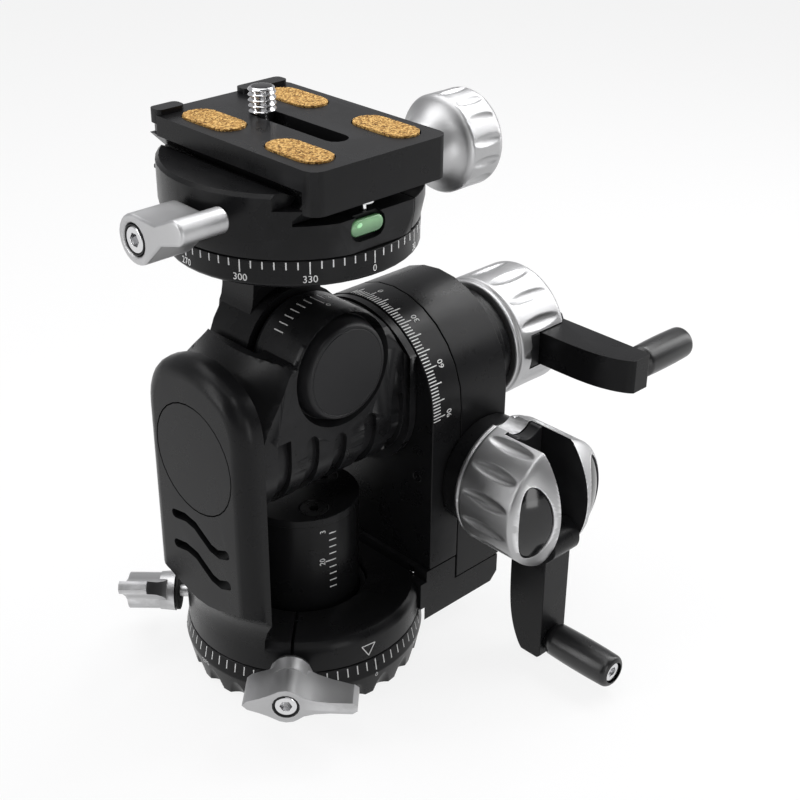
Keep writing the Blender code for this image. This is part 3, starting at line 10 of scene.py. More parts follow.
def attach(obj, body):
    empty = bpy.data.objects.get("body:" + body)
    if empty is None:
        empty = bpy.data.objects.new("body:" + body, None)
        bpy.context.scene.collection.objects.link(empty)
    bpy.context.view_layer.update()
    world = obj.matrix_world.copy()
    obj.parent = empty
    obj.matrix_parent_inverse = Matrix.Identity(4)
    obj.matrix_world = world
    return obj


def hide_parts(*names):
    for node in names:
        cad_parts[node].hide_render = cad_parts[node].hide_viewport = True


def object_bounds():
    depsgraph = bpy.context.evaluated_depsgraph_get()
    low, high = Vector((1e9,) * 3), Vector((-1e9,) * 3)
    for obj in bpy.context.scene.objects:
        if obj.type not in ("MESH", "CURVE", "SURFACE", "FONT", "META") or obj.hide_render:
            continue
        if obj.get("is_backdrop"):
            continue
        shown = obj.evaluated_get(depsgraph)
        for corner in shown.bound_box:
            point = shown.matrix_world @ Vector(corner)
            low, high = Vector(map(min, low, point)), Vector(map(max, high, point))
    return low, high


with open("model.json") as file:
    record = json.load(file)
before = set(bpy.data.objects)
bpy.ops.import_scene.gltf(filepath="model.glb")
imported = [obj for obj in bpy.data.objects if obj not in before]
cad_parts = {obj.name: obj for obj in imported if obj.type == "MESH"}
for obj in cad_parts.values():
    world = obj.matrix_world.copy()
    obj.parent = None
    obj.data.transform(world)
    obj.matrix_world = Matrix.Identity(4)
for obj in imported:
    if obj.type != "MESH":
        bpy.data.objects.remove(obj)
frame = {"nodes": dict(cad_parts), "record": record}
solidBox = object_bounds()
solids = frame["nodes"]
mm = 0.001
print("frame loaded:", len(solids), "solids")


# camera, floor and lamps

cameraLook = {"azimuth": -44.228, "elevation": 28.384, "roll": 0.5266, "distance": 346.756,
              "aimHeight": 70, "aimRight": 24.671, "aimUp": 0.994, "lens": 64.083}


def setCamera(look):
    turn, rise, roll = (math.radians(look[key]) for key in ("azimuth", "elevation", "roll"))
    back = Vector((math.sin(turn) * math.cos(rise), -math.cos(turn) * math.cos(rise), math.sin(rise)))
    right = Vector((math.cos(turn), math.sin(turn), 0))
    up = back.cross(right)
    right, up = (right * math.cos(roll) + up * math.sin(roll),
                 up * math.cos(roll) - right * math.sin(roll))
    aim = Vector((0, 0, look["aimHeight"])) + right * look["aimRight"] + up * look["aimUp"]
    place = Matrix((right, up, back)).transposed().to_4x4()
    place.translation = (aim + back * look["distance"]) * mm
    lens = bpy.data.cameras.new("productCamera")
    lens.lens = look["lens"]
    lens.clip_start = 0.01
    camera = bpy.data.objects.new("productCamera", lens)
    camera.matrix_world = place
    bpy.context.collection.objects.link(camera)
    bpy.context.scene.camera = camera


def feed(tree, node, sockets):  # each socket takes a value, or what another node gives out
    for key, value in sockets.items():
        if isinstance(value, bpy.types.NodeSocket):
            tree.links.new(value, node.inputs[key])
        else:
            node.inputs[key].default_value = value


def addNode(tree, kind, sockets=None, **settings):
    node = tree.nodes.new(kind)
    for key, value in settings.items():
        setattr(node, key, value)
    feed(tree, node, sockets or {})
    return node


def setRamp(node, stops):  # the outer two stops first, then any between them
    for index, (place, colour) in enumerate(stops):
        stop = node.color_ramp.elements[index] if index < 2 else node.color_ramp.elements.new(place)
        stop.position, stop.color = place, colour


def spread(tree, source, low, high, toLow=0.0, toHigh=1.0):  # a value drawn out between two limits
    return addNode(tree, "ShaderNodeMapRange", {"Value": source, "From Min": low, "From Max": high,
                                                "To Min": toLow, "To Max": toHigh}).outputs["Result"]


stageLook = {"floorSize": 20000, "floorColour": (0.84, 0.84, 0.85, 1), "floorRough": 0.9,
             "shadowShare": 0.15,
             "skyDark": (0.03, 0.03, 0.032, 1), "skyBright": (0.95, 0.95, 0.97, 1), "brightTo": 0.25, "darkFrom": 0.85,
             "darkSide": (-0.62, -0.70, -0.10), "skyStrength": 0.36, "mirrorStrength": 0.5}

lampLook = {  # where each softbox stands, what it looks at, its size and its power
    "topBox": {"place": (-40, 170, 560), "aim": (0, 0, 80), "size": (520, 400), "watts": 1.7},
    "highBox": {"place": (330, 10, 470), "aim": (20, 0, 80), "size": (300, 170), "watts": 1.3},
    "edgeBox": {"place": (-190, -180, 520), "aim": (0, 0, 80), "size": (130, 130), "watts": 0.3},
    "leftStrip": {"place": (-430, 190, 230), "aim": (0, 0, 90), "size": (100, 420), "watts": 0.8},
    "rightStrip": {"place": (470, -190, 260), "aim": (20, 0, 70), "size": (130, 400), "watts": 0.8},
    "frontBox": {"place": (-330, -470, 330), "aim": (0, 0, 60), "size": (380, 380), "watts": 0.35},
    "edgeStrip": {"place": (-60, -420, 70), "aim": (0, 0, 60), "size": (90, 300), "watts": 0.35},
    "farStrip": {"place": (330, -290, 360), "aim": (0, 0, 30), "size": (110, 260), "watts": 0.35},
}


def anyRay(tree, names):  # one where the ray is of a named kind, else zero
    rays = addNode(tree, "ShaderNodeLightPath")
    total = rays.outputs[names[0]]
    for name in names[1:]:
        total = addNode(tree, "ShaderNodeMath", {0: total, 1: rays.outputs[name]}, operation="MAXIMUM").outputs[0]
    return total


def setSky(look):
    world = bpy.data.worlds.new("studio")
    bpy.context.scene.world = world
    world.use_nodes = True
    tree = world.node_tree
    tree.nodes.clear()
    place = addNode(tree, "ShaderNodeTexCoord").outputs["Generated"]
    side = addNode(tree, "ShaderNodeVectorMath", {0: place, 1: Vector(look["darkSide"]).normalized()},
                   operation="DOT_PRODUCT")
    sky = addNode(tree, "ShaderNodeValToRGB", {"Fac": spread(tree, side.outputs["Value"], -1.0, 1.0)})
    sky.color_ramp.interpolation = "EASE"
    setRamp(sky, ((look["brightTo"], look["skyBright"]), (look["darkFrom"], look["skyDark"])))
    gain = spread(tree, anyRay(tree, ["Is Glossy Ray"]), 0.0, 1.0, look["skyStrength"], look["mirrorStrength"])
    soft = addNode(tree, "ShaderNodeBackground", {"Color": sky.outputs["Color"], "Strength": gain})
    white = addNode(tree, "ShaderNodeBackground", {"Color": (1, 1, 1, 1), "Strength": 1})
    choice = addNode(tree, "ShaderNodeMixShader", {0: anyRay(tree, ["Is Camera Ray", "Is Transmission Ray"]),
                                                   1: soft.outputs[0], 2: white.outputs[0]})
    addNode(tree, "ShaderNodeOutputWorld", {"Surface": choice.outputs[0]})


def setFloor(look):
    half = look["floorSize"] * mm / 2
    mesh = bpy.data.meshes.new("studioFloor")
    mesh.from_pydata([(-half, -half, 0), (half, -half, 0), (half, half, 0), (-half, half, 0)], [],
                     [(0, 1, 2, 3)])
    floor = bpy.data.objects.new("studioFloor", mesh)
    bpy.context.collection.objects.link(floor)
    paper = bpy.data.materials.new("whitePaper")
    paper.use_nodes = True
    tree = paper.node_tree
    shader = tree.nodes["Principled BSDF"]
    feed(tree, shader, {"Base Color": look["floorColour"], "Roughness": look["floorRough"]})
    seen = anyRay(tree, ["Is Camera Ray", "Is Glossy Ray", "Is Transmission Ray"])
    share = addNode(tree, "ShaderNodeMath", {0: seen, 1: 1 - look["shadowShare"]}, operation="MULTIPLY")
    glow = addNode(tree, "ShaderNodeEmission", {"Color": (1, 1, 1, 1), "Strength": 1})
    choice = addNode(tree, "ShaderNodeMixShader", {0: share.outputs[0], 1: shader.outputs[0], 2: glow.outputs[0]})
    feed(tree, tree.nodes["Material Output"], {"Surface": choice.outputs[0]})
    mesh.materials.append(paper)
    floor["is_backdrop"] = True


def setLamps(lamps):
    for name, look in lamps.items():
        light = bpy.data.lights.new(name, "AREA")
        light.shape = "RECTANGLE"
        light.size, light.size_y = (side * mm for side in look["size"])
        light.energy = look["watts"]
        lamp = bpy.data.objects.new(name, light)
        lamp.location = Vector(look["place"]) * mm
        heading = (Vector(look["aim"]) - Vector(look["place"])).to_track_quat("-Z", "Y")
        lamp.rotation_euler = heading.to_euler()
        bpy.context.collection.objects.link(lamp)


bpy.context.scene.view_settings.view_transform = "Standard"
setCamera(cameraLook)
setSky(stageLook)
setFloor(stageLook)
setLamps(lampLook)
print("camera, floor and lamps set")


# finishes

plainFinish = {"metallic": 0.0, "specular": 0.5}
finishLook = {  # grain is the size of the blasted grain and depth its height, edge the worn colour
    "blackAnodised": {"colour": (0.0075, 0.0075, 0.008, 1), "edge": (0.016, 0.016, 0.017, 1),
                      "rough": (0.24, 0.34), "grain": 0.20, "depth": 0.016, "specular": 0.15},
    "blackSatin": {"colour": (0.010, 0.010, 0.011, 1), "edge": (0.02, 0.02, 0.021, 1),
                   "rough": (0.34, 0.48), "grain": 0.3, "depth": 0.010, "specular": 0.24},
    "silverAnodised": {"colour": (0.44, 0.44, 0.445, 1), "edge": (0.85, 0.85, 0.86, 1), "metallic": 1.0,
                       "rough": (0.38, 0.48), "grain": 0.2, "depth": 0.010},
    "polishedEdge": {"colour": (0.80, 0.80, 0.81, 1), "edge": (0.9, 0.9, 0.91, 1), "metallic": 1.0,
                     "rough": (0.10, 0.18), "grain": 0.5, "depth": 0.002},
    "polishedSteel": {"colour": (0.66, 0.66, 0.67, 1), "edge": (0.85, 0.85, 0.86, 1), "metallic": 1.0,
                      "rough": (0.10, 0.20), "grain": 0.5, "depth": 0.003},
    "blackSteel": {"colour": (0.030, 0.030, 0.032, 1), "edge": (0.12, 0.12, 0.12, 1), "metallic": 0.8,
                   "rough": (0.22, 0.34), "grain": 0.4, "depth": 0.004},
    "machinedBrass": {"colour": (0.60, 0.42, 0.18, 1), "edge": (0.80, 0.62, 0.32, 1), "metallic": 1.0,
                      "rough": (0.22, 0.36), "grain": 0.4, "depth": 0.006},
    "blackGloss": {"colour": (0.006, 0.006, 0.0065, 1), "edge": (0.03, 0.03, 0.03, 1),
                   "rough": (0.09, 0.16), "grain": 0.6, "depth": 0.002},
    "gripSatin": {"colour": (0.010, 0.010, 0.0105, 1), "edge": (0.04, 0.04, 0.04, 1),
                  "rough": (0.26, 0.36), "grain": 0.4, "depth": 0.006},
    "blackRubber": {"colour": (0.008, 0.008, 0.008, 1), "edge": (0.03, 0.03, 0.03, 1),
                    "rough": (0.66, 0.8), "grain": 0.4, "depth": 0.02, "specular": 0.3},
    "whitePaint": {"colour": (0.66, 0.66, 0.65, 1), "edge": (0.74, 0.74, 0.74, 1),
                   "rough": (0.5, 0.62), "grain": 0.3, "depth": 0.004, "specular": 0.3},
}
patchLook = {"scale": 90.0, "detail": 5.0, "rough": 0.6, "roughFrom": (0.3, 0.7), "edgeFrom": (0.52, 0.62),
             "speckFrom": (0.35, 0.65)}


def newMaterial(name):
    material = bpy.data.materials.new(name)
    material.use_nodes = True
    tree = material.node_tree
    return material, tree, tree.nodes["Principled BSDF"], addNode(tree, "ShaderNodeTexCoord").outputs["Object"]


def noiseOf(tree, place, scale, detail, rough=0.5):
    return addNode(tree, "ShaderNodeTexNoise", {"Vector": place, "Scale": scale, "Detail": detail, "Roughness": rough})


def blendOf(tree, share, first, second):
    return addNode(tree, "ShaderNodeMix", {"Factor": share, "A": first, "B": second},
                   data_type="RGBA").outputs["Result"]


def makeFinish(name, look, patch):
    material, tree, shader, place = newMaterial(name)
    patches = noiseOf(tree, place, patch["scale"], patch["detail"], patch["rough"]).outputs["Fac"]
    grain = noiseOf(tree, place, 1 / (look["grain"] * mm), 1.0)
    relief = addNode(tree, "ShaderNodeBump", {"Height": grain.outputs["Fac"], "Strength": 1.0,
                                              "Distance": look["depth"] * mm})
    bend = addNode(tree, "ShaderNodeNewGeometry").outputs["Pointiness"]
    wear = addNode(tree, "ShaderNodeMath", {0: spread(tree, bend, *patch["edgeFrom"]),
                                            1: spread(tree, patches, *patch["speckFrom"])}, operation="MULTIPLY")
    feed(tree, shader, {"Metallic": look["metallic"], "Specular IOR Level": look["specular"],
                        "Roughness": spread(tree, patches, *patch["roughFrom"], *look["rough"]),
                        "Normal": relief.outputs["Normal"],
                        "Base Color": blendOf(tree, wear.outputs[0], look["colour"], look["edge"])})
    return material


corkLook = {"grain": 0.36, "warp": 0.5, "warpScale": 900.0, "rough": 0.85, "specular": 0.2, "depth": 0.12,
            "relief": 0.6, "tones": ((0.0, (0.07, 0.033, 0.010, 1)), (0.9, (0.66, 0.42, 0.15, 1)),
                                     (0.4, (0.34, 0.175, 0.045, 1)))}


def makeCork(look):
    material, tree, shader, place = newMaterial("corkGranules")
    warp = noiseOf(tree, place, look["warpScale"], 2.0)
    shift = addNode(tree, "ShaderNodeVectorMath", {0: warp.outputs["Color"], 1: [look["warp"] * mm] * 3, 2: place},
                    operation="MULTIPLY_ADD")
    grains = addNode(tree, "ShaderNodeTexVoronoi", {"Vector": shift.outputs[0], "Scale": 1 / (look["grain"] * mm)})
    shade = addNode(tree, "ShaderNodeSeparateColor", {0: grains.outputs["Color"]})
    tones = addNode(tree, "ShaderNodeValToRGB", {"Fac": shade.outputs[0]})
    setRamp(tones, look["tones"])
    relief = addNode(tree, "ShaderNodeBump", {"Height": grains.outputs["Distance"], "Strength": look["relief"],
                                              "Distance": look["depth"] * mm}, invert=True)
    feed(tree, shader, {"Roughness": look["rough"], "Specular IOR Level": look["specular"],
                        "Base Color": tones.outputs["Color"], "Normal": relief.outputs["Normal"]})
    return material


# the fluid and bubble tones are each a shaded and a lit copy of one green: painted shade low in the vial, painted
# light high; glow is a painted glow
levelLook = {"fluid": ((0.012, 0.07, 0.02, 1), (0.24, 0.46, 0.24, 1)),
             "bubble": ((0.20, 0.85, 0.22, 1), (0.55, 1.0, 0.58, 1)),
             "rough": 0.07, "coat": 0.5, "glow": (0.2, 0.7, 0.22, 1), "glowStrength": 0.04, "from": 123.1, "to": 126.2,
             "shadeNoiseScale": 260.0, "shadeNoiseGain": 0.25, "shadeNoiseShift": -0.12}


def makeLevelFluid(name, look, tones):  # fluid colour painted darker towards the bottom as painted shade and paler at the top as painted light, broken by noise, with a faint painted glow
    material, tree, shader, place = newMaterial(name)
    shadeNoise = noiseOf(tree, place, look["shadeNoiseScale"], 2.0)
    # painted shade low in the vial and painted light high, their border broken by noise; the emission is a painted
    # glow
    height = addNode(tree, "ShaderNodeSeparateXYZ", {0: place})
    rise = spread(tree, height.outputs["Z"], look["from"] * mm, look["to"] * mm)
    soft = addNode(tree, "ShaderNodeMath", {0: shadeNoise.outputs["Fac"], 1: look["shadeNoiseGain"], 2: look["shadeNoiseShift"]},
                   operation="MULTIPLY_ADD")
    share = addNode(tree, "ShaderNodeMath", {0: rise, 1: soft.outputs[0]}, operation="ADD", use_clamp=True)
    feed(tree, shader, {"Roughness": look["rough"], "Coat Weight": look["coat"], "Emission Color": look["glow"],
                        "Emission Strength": look["glowStrength"],
                        "Base Color": blendOf(tree, share.outputs[0], *tones)})
    return material


finishes = {name: makeFinish(name, plainFinish | look, patchLook) for name, look in finishLook.items()}
finishes["cork"] = makeCork(corkLook)
finishes["levelFluid"] = makeLevelFluid("levelFluid", levelLook, levelLook["fluid"])
# the bubble's tones: the real bubble, coloured as a painted highlight
finishes["levelBubbleHighlight"] = makeLevelFluid("levelBubbleHighlight", levelLook, levelLook["bubble"])
print("finishes made:", len(finishes))


# shaping tools: every piece is drawn in millimetres on its own axis, then seated in the frame

def newPiece(name, mesh):
    piece = bpy.data.objects.new(name, mesh)
    bpy.context.collection.objects.link(piece)
    return piece


def pieceFrom(name, points, faces):
    mesh = bpy.data.meshes.new(name)
    work = bmesh.new()
    corners = [work.verts.new(Vector(point) * mm) for point in points]
    for face in faces:
        work.faces.new([corners[index] for index in face])
    bmesh.ops.recalc_face_normals(work, faces=work.faces)
    work.to_mesh(mesh)
    work.free()
    mesh.shade_smooth()
    return newPiece(name, mesh)


def loftPiece(name, rings, loop=False):  # rings of as many points each, closed at both ends or in a loop
    count = len(rings[0])
    faces = [list(range(count)), list(range((len(rings) - 1) * count, len(rings) * count))]
    if loop:
        last = (len(rings) - 1) * count
        faces = [[last + i, last + (i + 1) % count, (i + 1) % count, i] for i in range(count)]
    for low in range(0, (len(rings) - 1) * count, count):
        faces += [[low + i, low + (i + 1) % count, low + count + (i + 1) % count, low + count + i]
                  for i in range(count)]
    return pieceFrom(name, [point for ring in rings for point in ring], faces)


def ringOf(radius, height, sides, centre=(0, 0)):
    turns = [2 * math.pi * side / sides for side in range(sides)]
    return [(centre[0] + radius * math.cos(turn), centre[1] + radius * math.sin(turn), height) for turn in turns]


def spinPiece(name, profile, sides=96, centre=(0, 0), loop=False):  # profile of radius and height about local Z
    return loftPiece(name, [ringOf(max(radius, 0.001), height, sides, centre) for radius, height in profile], loop)


def slabPiece(name, outline, low, high):  # outline in local X and Y
    return loftPiece(name, [[(x, y, height) for x, y in outline] for height in (low, high)])


def oblong(halfWide, halfLong):
    return [(-halfWide, -halfLong), (halfWide, -halfLong), (halfWide, halfLong), (-halfWide, halfLong)]


def arcOf(centre, radius, start, end, steps):
    return [(centre[0] + radius * math.cos(math.radians(start + (end - start) * i / steps)),
             centre[1] + radius * math.sin(math.radians(start + (end - start) * i / steps)))
            for i in range(steps + 1)]


def curveThrough(points, steps=6):  # smooth run through a few chosen points
    ends = [points[0]] + list(points) + [points[-1]]
    run = []
    for a, b, c, d in zip(ends, ends[1:], ends[2:], ends[3:]):
        for i in range(steps):
            t = i / steps
            run.append(tuple(0.5 * (2 * b[k] + (c[k] - a[k]) * t + (2 * a[k] - 5 * b[k] + 4 * c[k] - d[k]) * t ** 2
                                    + (3 * b[k] - a[k] - 3 * c[k] + d[k]) * t ** 3) for k in (0, 1)))
    return run + [tuple(points[-1])]


def shapedMesh(piece):
    bpy.context.view_layer.update()
    return bpy.data.meshes.new_from_object(piece.evaluated_get(bpy.context.evaluated_depsgraph_get()))


def carve(piece, cutters, mode="DIFFERENCE"):
    for cutter in cutters:
        step = piece.modifiers.new("carve", "BOOLEAN")
        step.operation, step.object, step.solver = mode, cutter, "EXACT"
    shaped = shapedMesh(piece)
    piece.modifiers.clear()
    piece.data = shaped
    for cutter in cutters:
        bpy.data.objects.remove(cutter, do_unlink=True)
    return piece


def breakEdges(piece, width, segments=3, angle=30, polished=False):  # bevels that catch the light
    piece.data.shade_smooth()
    bevel = piece.modifiers.new("brokenEdge", "BEVEL")
    bevel.width, bevel.segments, bevel.angle_limit = width * mm, segments, math.radians(angle)
    bevel.use_clamp_overlap = True
    bevel.material = 1 if polished else -1
    flow = piece.modifiers.new("flow", "WEIGHTED_NORMAL")
    flow.keep_sharp = False
    return piece


def seatPiece(piece, seat):
    piece.data.transform(seat)
    return piece


def seatAt(origin, across, along, out):  # local X, Y and Z axes in the frame, origin in millimetres
    seat = Matrix((across, along, out)).transposed().to_4x4()
    seat.translation = Vector(origin) * mm
    return seat


bodyOf = {name: body for body, names in frame["record"]["behaviour"]["bodies"].items() for name in names}
slotOf = {part["node"]: part["material_slot"] for part in frame["record"]["subparts"]}
slotFinish = {"black_anodised": "blackAnodised", "black_satin": "blackSatin", "silver_anodised": "silverAnodised",
              "steel": "polishedSteel", "dark_steel": "blackSteel", "brass": "machinedBrass",
              "cork": "cork", "level_green": "levelFluid", "rubber": "blackRubber"}
for nodeName, solid in solids.items():
    solid.data.materials.clear()
    solid.data.materials.append(finishes[slotFinish[slotOf[nodeName]]])


def dress(piece, nodeName, finish=None, edge=None, replace=True):  # finish, body and slot of a new piece
    piece.data.materials.clear()
    piece.data.materials.append(finishes[finish or slotFinish[slotOf[nodeName]]])
    if edge:
        piece.data.materials.append(finishes[edge])
    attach(piece, bodyOf[nodeName])
    if replace:
        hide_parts(nodeName)
    return piece


def paintFaces(piece, seat, finish, test):  # another finish on the faces whose local middle passes the test
    piece.data.materials.append(finishes[finish])
    back = seat.inverted()
    for face in piece.data.polygons:
        if test(back @ face.center / mm):
            face.material_index = len(piece.data.materials) - 1


# solids whose form stays, with their edges broken

edgeBreaks = {"head_frame": 0.55, "gear_housing": 0.45, "scale_tower": 0.25, "neck": 0.35,
              "clamp_body": 0.7, "jaw": 0.5, "pan_ring": 0.35, "collar_b": 0.25,
              "lift_sleeve": 0.15}


def cleanCopy(nodeName, name):  # a solid's mesh with its flat faces whole again
    mesh = solids[nodeName].data.copy()
    work = bmesh.new()
    work.from_mesh(mesh)
    bmesh.ops.remove_doubles(work, verts=work.verts, dist=1e-7)
    bmesh.ops.dissolve_limit(work, angle_limit=math.radians(0.4), verts=work.verts, edges=work.edges)
    work.to_mesh(mesh)
    work.free()
    if "custom_normal" in mesh.attributes:
        mesh.attributes.remove(mesh.attributes["custom_normal"])
    return newPiece(name, mesh)


def shellOf(nodeName, width):
    return dress(breakEdges(cleanCopy(nodeName, nodeName + "_shell"), width), nodeName)


for nodeName, width in edgeBreaks.items():
    shellOf(nodeName, width)
print("edges broken on", len(edgeBreaks), "solids")


# crank knobs: silver bodies with lens flutes, black insert and inlays, cranks, grips

crankKnob = {"radius": 17.0, "edge": 18.6, "length": 25.5, "flutes": 14,
             "fluteRadius": 2.2, "fluteDepth": 0.9, "fluteStart": 1.2, "fluteEnd": 19.0, "edgeBreak": 0.22,
             "rearRim": ((15.8, 0.0), (16.3, 0.12), (16.55, 0.4), (16.6, 0.75), (16.5, 1.15), (16.3, 1.35),
                         (16.35, 1.6), (16.75, 1.8)),
             "slotHalf": 5.0, "slotFloor": 5.7, "gripGroove": 4.9, "gripPlace": -19.6,
             "inlayPlace": 11.0, "inlayHalf": (3.8, 9.9), "inlayFloor": 18.6, "inlaySink": 0.25, "inlayRim": 0.28,
             "linerGap": 0.3, "linerRise": 3.8, "linerReach": 16.3, "linerEdge": 0.3, "inlayEdge": 0.25,
             "overrun": 3, "sideStart": 2.2, "sideStop": 0.5, "shoulder": ((-0.08, -0.15), (-0.3, 0.15))}
crankLook = {"pivot": (19.0, 10.0), "boss": 4.7, "half": 4.7, "high": 20.9, "length": 44.4,
             "heel": ((16.0, 4.6), (12.5, 6.0), (10.3, 9.0)), "chamfer": 0.9,
             "inner": ((9.7, 17.0), (9.7, 24.0), (9.9, 30.0), (10.5, 35.0), (11.7, 39.4), (13.2, 42.6), (14.2, 44.0)),
             "pinRadius": 1.5, "pinGap": 0.15, "pinSink": 0.2, "edgeBreak": 0.35}
gripLook = {"place": 39.6, "start": 21.2, "neck": (3.6, 22.0), "radius": 4.5, "end": 41.2, "round": 1.5,
            "belly": 0.18, "shoulder": 0.4, "screw": 2.8, "hex": 1.4, "screwSink": 0.5, "screwDepth": 2.0,
            "wellGap": 0.25, "wellDepth": 2.6}


def flutedPiece(name, profile, look, sides):  # turned piece with slim flutes milled into its side
    middle, half = (look["fluteStart"] + look["fluteEnd"]) / 2, (look["fluteEnd"] - look["fluteStart"]) / 2
    reach = look["radius"] + look["fluteRadius"] - look["fluteDepth"]
    rings = []
    for radius, height in profile:
        tool = look["fluteRadius"] * math.sqrt(max(0, 1 - ((height - middle) / half) ** 2))
        ring = []
        for side in range(sides):
            turn = 2 * math.pi * side / sides
            lean = (side * look["flutes"] / sides % 1 - 0.5) * 2 * math.pi / look["flutes"]
            across, skin = reach * math.sin(lean), radius
            if abs(across) < tool:
                skin = min(skin, reach * math.cos(lean) - math.sqrt(tool ** 2 - across ** 2))
            ring.append((skin * math.cos(turn), skin * math.sin(turn), height))
        rings.append(ring)
    return loftPiece(name, rings)


def knobProfile(look, shrink=0.0):
    radius, length, edge, start = (look[key] for key in ("radius", "length", "edge", "sideStart"))
    crown = (radius ** 2 + (length - edge) ** 2) / (2 * (length - edge))
    lean = math.asin(radius / crown)
    rows = list(look["rearRim"])
    rows += [(radius, start + (edge - look["sideStop"] - start) * i / 38) for i in range(39)]
    rows += [(radius + across, edge + along) for across, along in look["shoulder"]]
    rows += [(crown * math.sin(lean * share), length - crown + crown * math.cos(lean * share))
             for share in (0.96 - i / 21 for i in range(20))]
    return [(radius - shrink, height - shrink if height > edge else height) for radius, height in rows]


def ovalOutline(look, side, margin, steps=48):  # across the slot is local X, along it local Y
    return [(side * look["inlayPlace"] + (look["inlayHalf"][0] + margin) * math.cos(2 * math.pi * i / steps),
             (look["inlayHalf"][1] + margin) * math.sin(2 * math.pi * i / steps)) for i in range(steps)]


def crankOutline(look):  # u along the knob's axis, v along the crank
    boss = arcOf(look["pivot"], look["boss"], 30, -140, 20)
    high, length, cut = look["high"], look["length"], look["chamfer"]
    tip = [(look["inner"][-1][0] + cut / 2, length), (high - cut, length), (high, length - cut)]
    top = [(high, look["pivot"][1] + look["boss"])]
    return boss + list(look["heel"]) + curveThrough(look["inner"], 4) + tip + top


def makeCrankKnob(letter, seat, knob, crank, grip):
    # local X runs across the crank, Y along it and Z out along the knob's axis
    body = flutedPiece(f"knob_{letter}_turned", knobProfile(knob), knob, 336)
    half, over, gap = knob["slotHalf"], knob["overrun"], knob["linerGap"]
    top = knob["length"] + over
    groove = arcOf((0, knob["gripPlace"]), knob["gripGroove"], 0, 350, 35)
    cutters = [slabPiece("slot", oblong(half, knob["radius"] + over), knob["slotFloor"], top),
               slabPiece("gripGroove", groove, -over, top)]
    cutters += [slabPiece("inlaySeat", ovalOutline(knob, side, knob["inlayRim"]), knob["inlayFloor"], top)
                for side in (-1, 1)]
    carve(body, cutters)
    dress(breakEdges(seatPiece(body, seat), knob["edgeBreak"], 3, 62, True), f"knob_{letter}", edge="polishedEdge")
    paintFaces(body, seat, "blackSatin", lambda spot: spot.z > knob["slotFloor"] - 0.1 and (
        abs(abs(spot.x) - half) < 0.05 or (spot.z < knob["slotFloor"] + 0.1 and math.hypot(spot.x, spot.y) < 14)
        or math.hypot(spot.x, spot.y - knob["gripPlace"]) < knob["gripGroove"] + 0.05))

    insert = slabPiece(f"knob_{letter}_liner", oblong(half - gap, knob["linerReach"]), knob["slotFloor"] + gap,
                       knob["slotFloor"] + knob["linerRise"])
    carve(insert, [slabPiece("gripGroove", groove, -over, top)])
    dress(breakEdges(seatPiece(insert, seat), knob["linerEdge"]), f"knob_{letter}_insert")
    for number, side in ((1, -1), (2, 1)):
        skin = spinPiece("skin", knobProfile(knob, knob["inlaySink"])[len(knob["rearRim"]):], 160)
        inlay = slabPiece(f"knob_{letter}_oval_{number}", ovalOutline(knob, side, 0), knob["inlayFloor"], top)
        carve(inlay, [skin], "INTERSECT")
        dress(breakEdges(seatPiece(inlay, seat), knob["inlayEdge"]), f"knob_{letter}_inlay_{number}", "blackGloss")

    # the arm is drawn in u and v and then stood up, so that u runs out and v along
    stand = seat @ Matrix(((0, 0, -1, 0), (0, 1, 0, 0), (1, 0, 0, 0), (0, 0, 0, 1)))
    arm = slabPiece(f"crank_{letter}_arm", crankOutline(crank), -crank["half"], crank["half"])
    u, v = crank["pivot"]
    carve(arm, [spinPiece("pinHole", [(crank["pinRadius"], side * crank["half"] - 0.5),
                                      (crank["pinRadius"], side * crank["half"] + 0.5)], 32, (u, v))
                for side in (-1, 1)])
    dress(breakEdges(seatPiece(arm, stand), crank["edgeBreak"], 3, 25), f"crank_{letter}")
    thin, reach = crank["pinRadius"] - crank["pinGap"], crank["half"] - crank["pinSink"]
    pin = spinPiece(f"crank_{letter}_pin", [(thin, -reach), (thin, reach)], 32, (u, v))
    dress(breakEdges(seatPiece(pin, stand), crank["pinSink"]), f"crank_{letter}", "blackSteel", replace=False)

    place = (0, grip["place"])
    end, radius, soft = grip["end"], grip["radius"], grip["round"]
    low, well = grip["neck"][1] + grip["shoulder"], grip["screw"] + grip["wellGap"]
    rows = [(grip["neck"][0], grip["start"]), grip["neck"]]
    rows += [(radius - grip["belly"] * (i / 6 - 1) ** 2, low + (end - soft - low) * i / 12) for i in range(13)]
    rows += arcOf((radius - grip["belly"] - soft, end - soft), soft, 15, 90, 5)
    rows += [(well, end), (well, end - grip["wellDepth"]), (0, end - grip["wellDepth"])]
    handle = spinPiece(f"grip_{letter}_handle", rows, 64, place)
    dress(seatPiece(handle, seat), f"grip_{letter}", "gripSatin")
    makeSocketScrew(f"grip_{letter}_bolt", seat, place, end - grip["screwSink"], grip["screwDepth"],
                    grip["screw"], grip["hex"], f"grip_{letter}_screw")


socketLook = {"rim": 0.35, "deepShare": 0.7, "edgeBreak": 0.12, "cup": (0.02, 0.26), "cupDepth": 0.6,
              "cupProud": 0.02}


def makeSocketScrew(name, seat, place, face, depth, radius, hexRadius, nodeName):
    # a round head with a broken edge and a hexagon socket, its face toward local +Z
    rim = socketLook["rim"]
    head = spinPiece(name, [(radius, face - depth), (radius, face - rim), (radius - rim, face)], 48, place)
    socket = [(place[0] + x, place[1] + y) for x, y in arcOf((0, 0), hexRadius, 0, 300, 5)]
    carve(head, [slabPiece("hexSocket", socket, face - depth * socketLook["deepShare"], face + 1)])
    return dress(breakEdges(seatPiece(head, seat), socketLook["edgeBreak"], 2), nodeName)


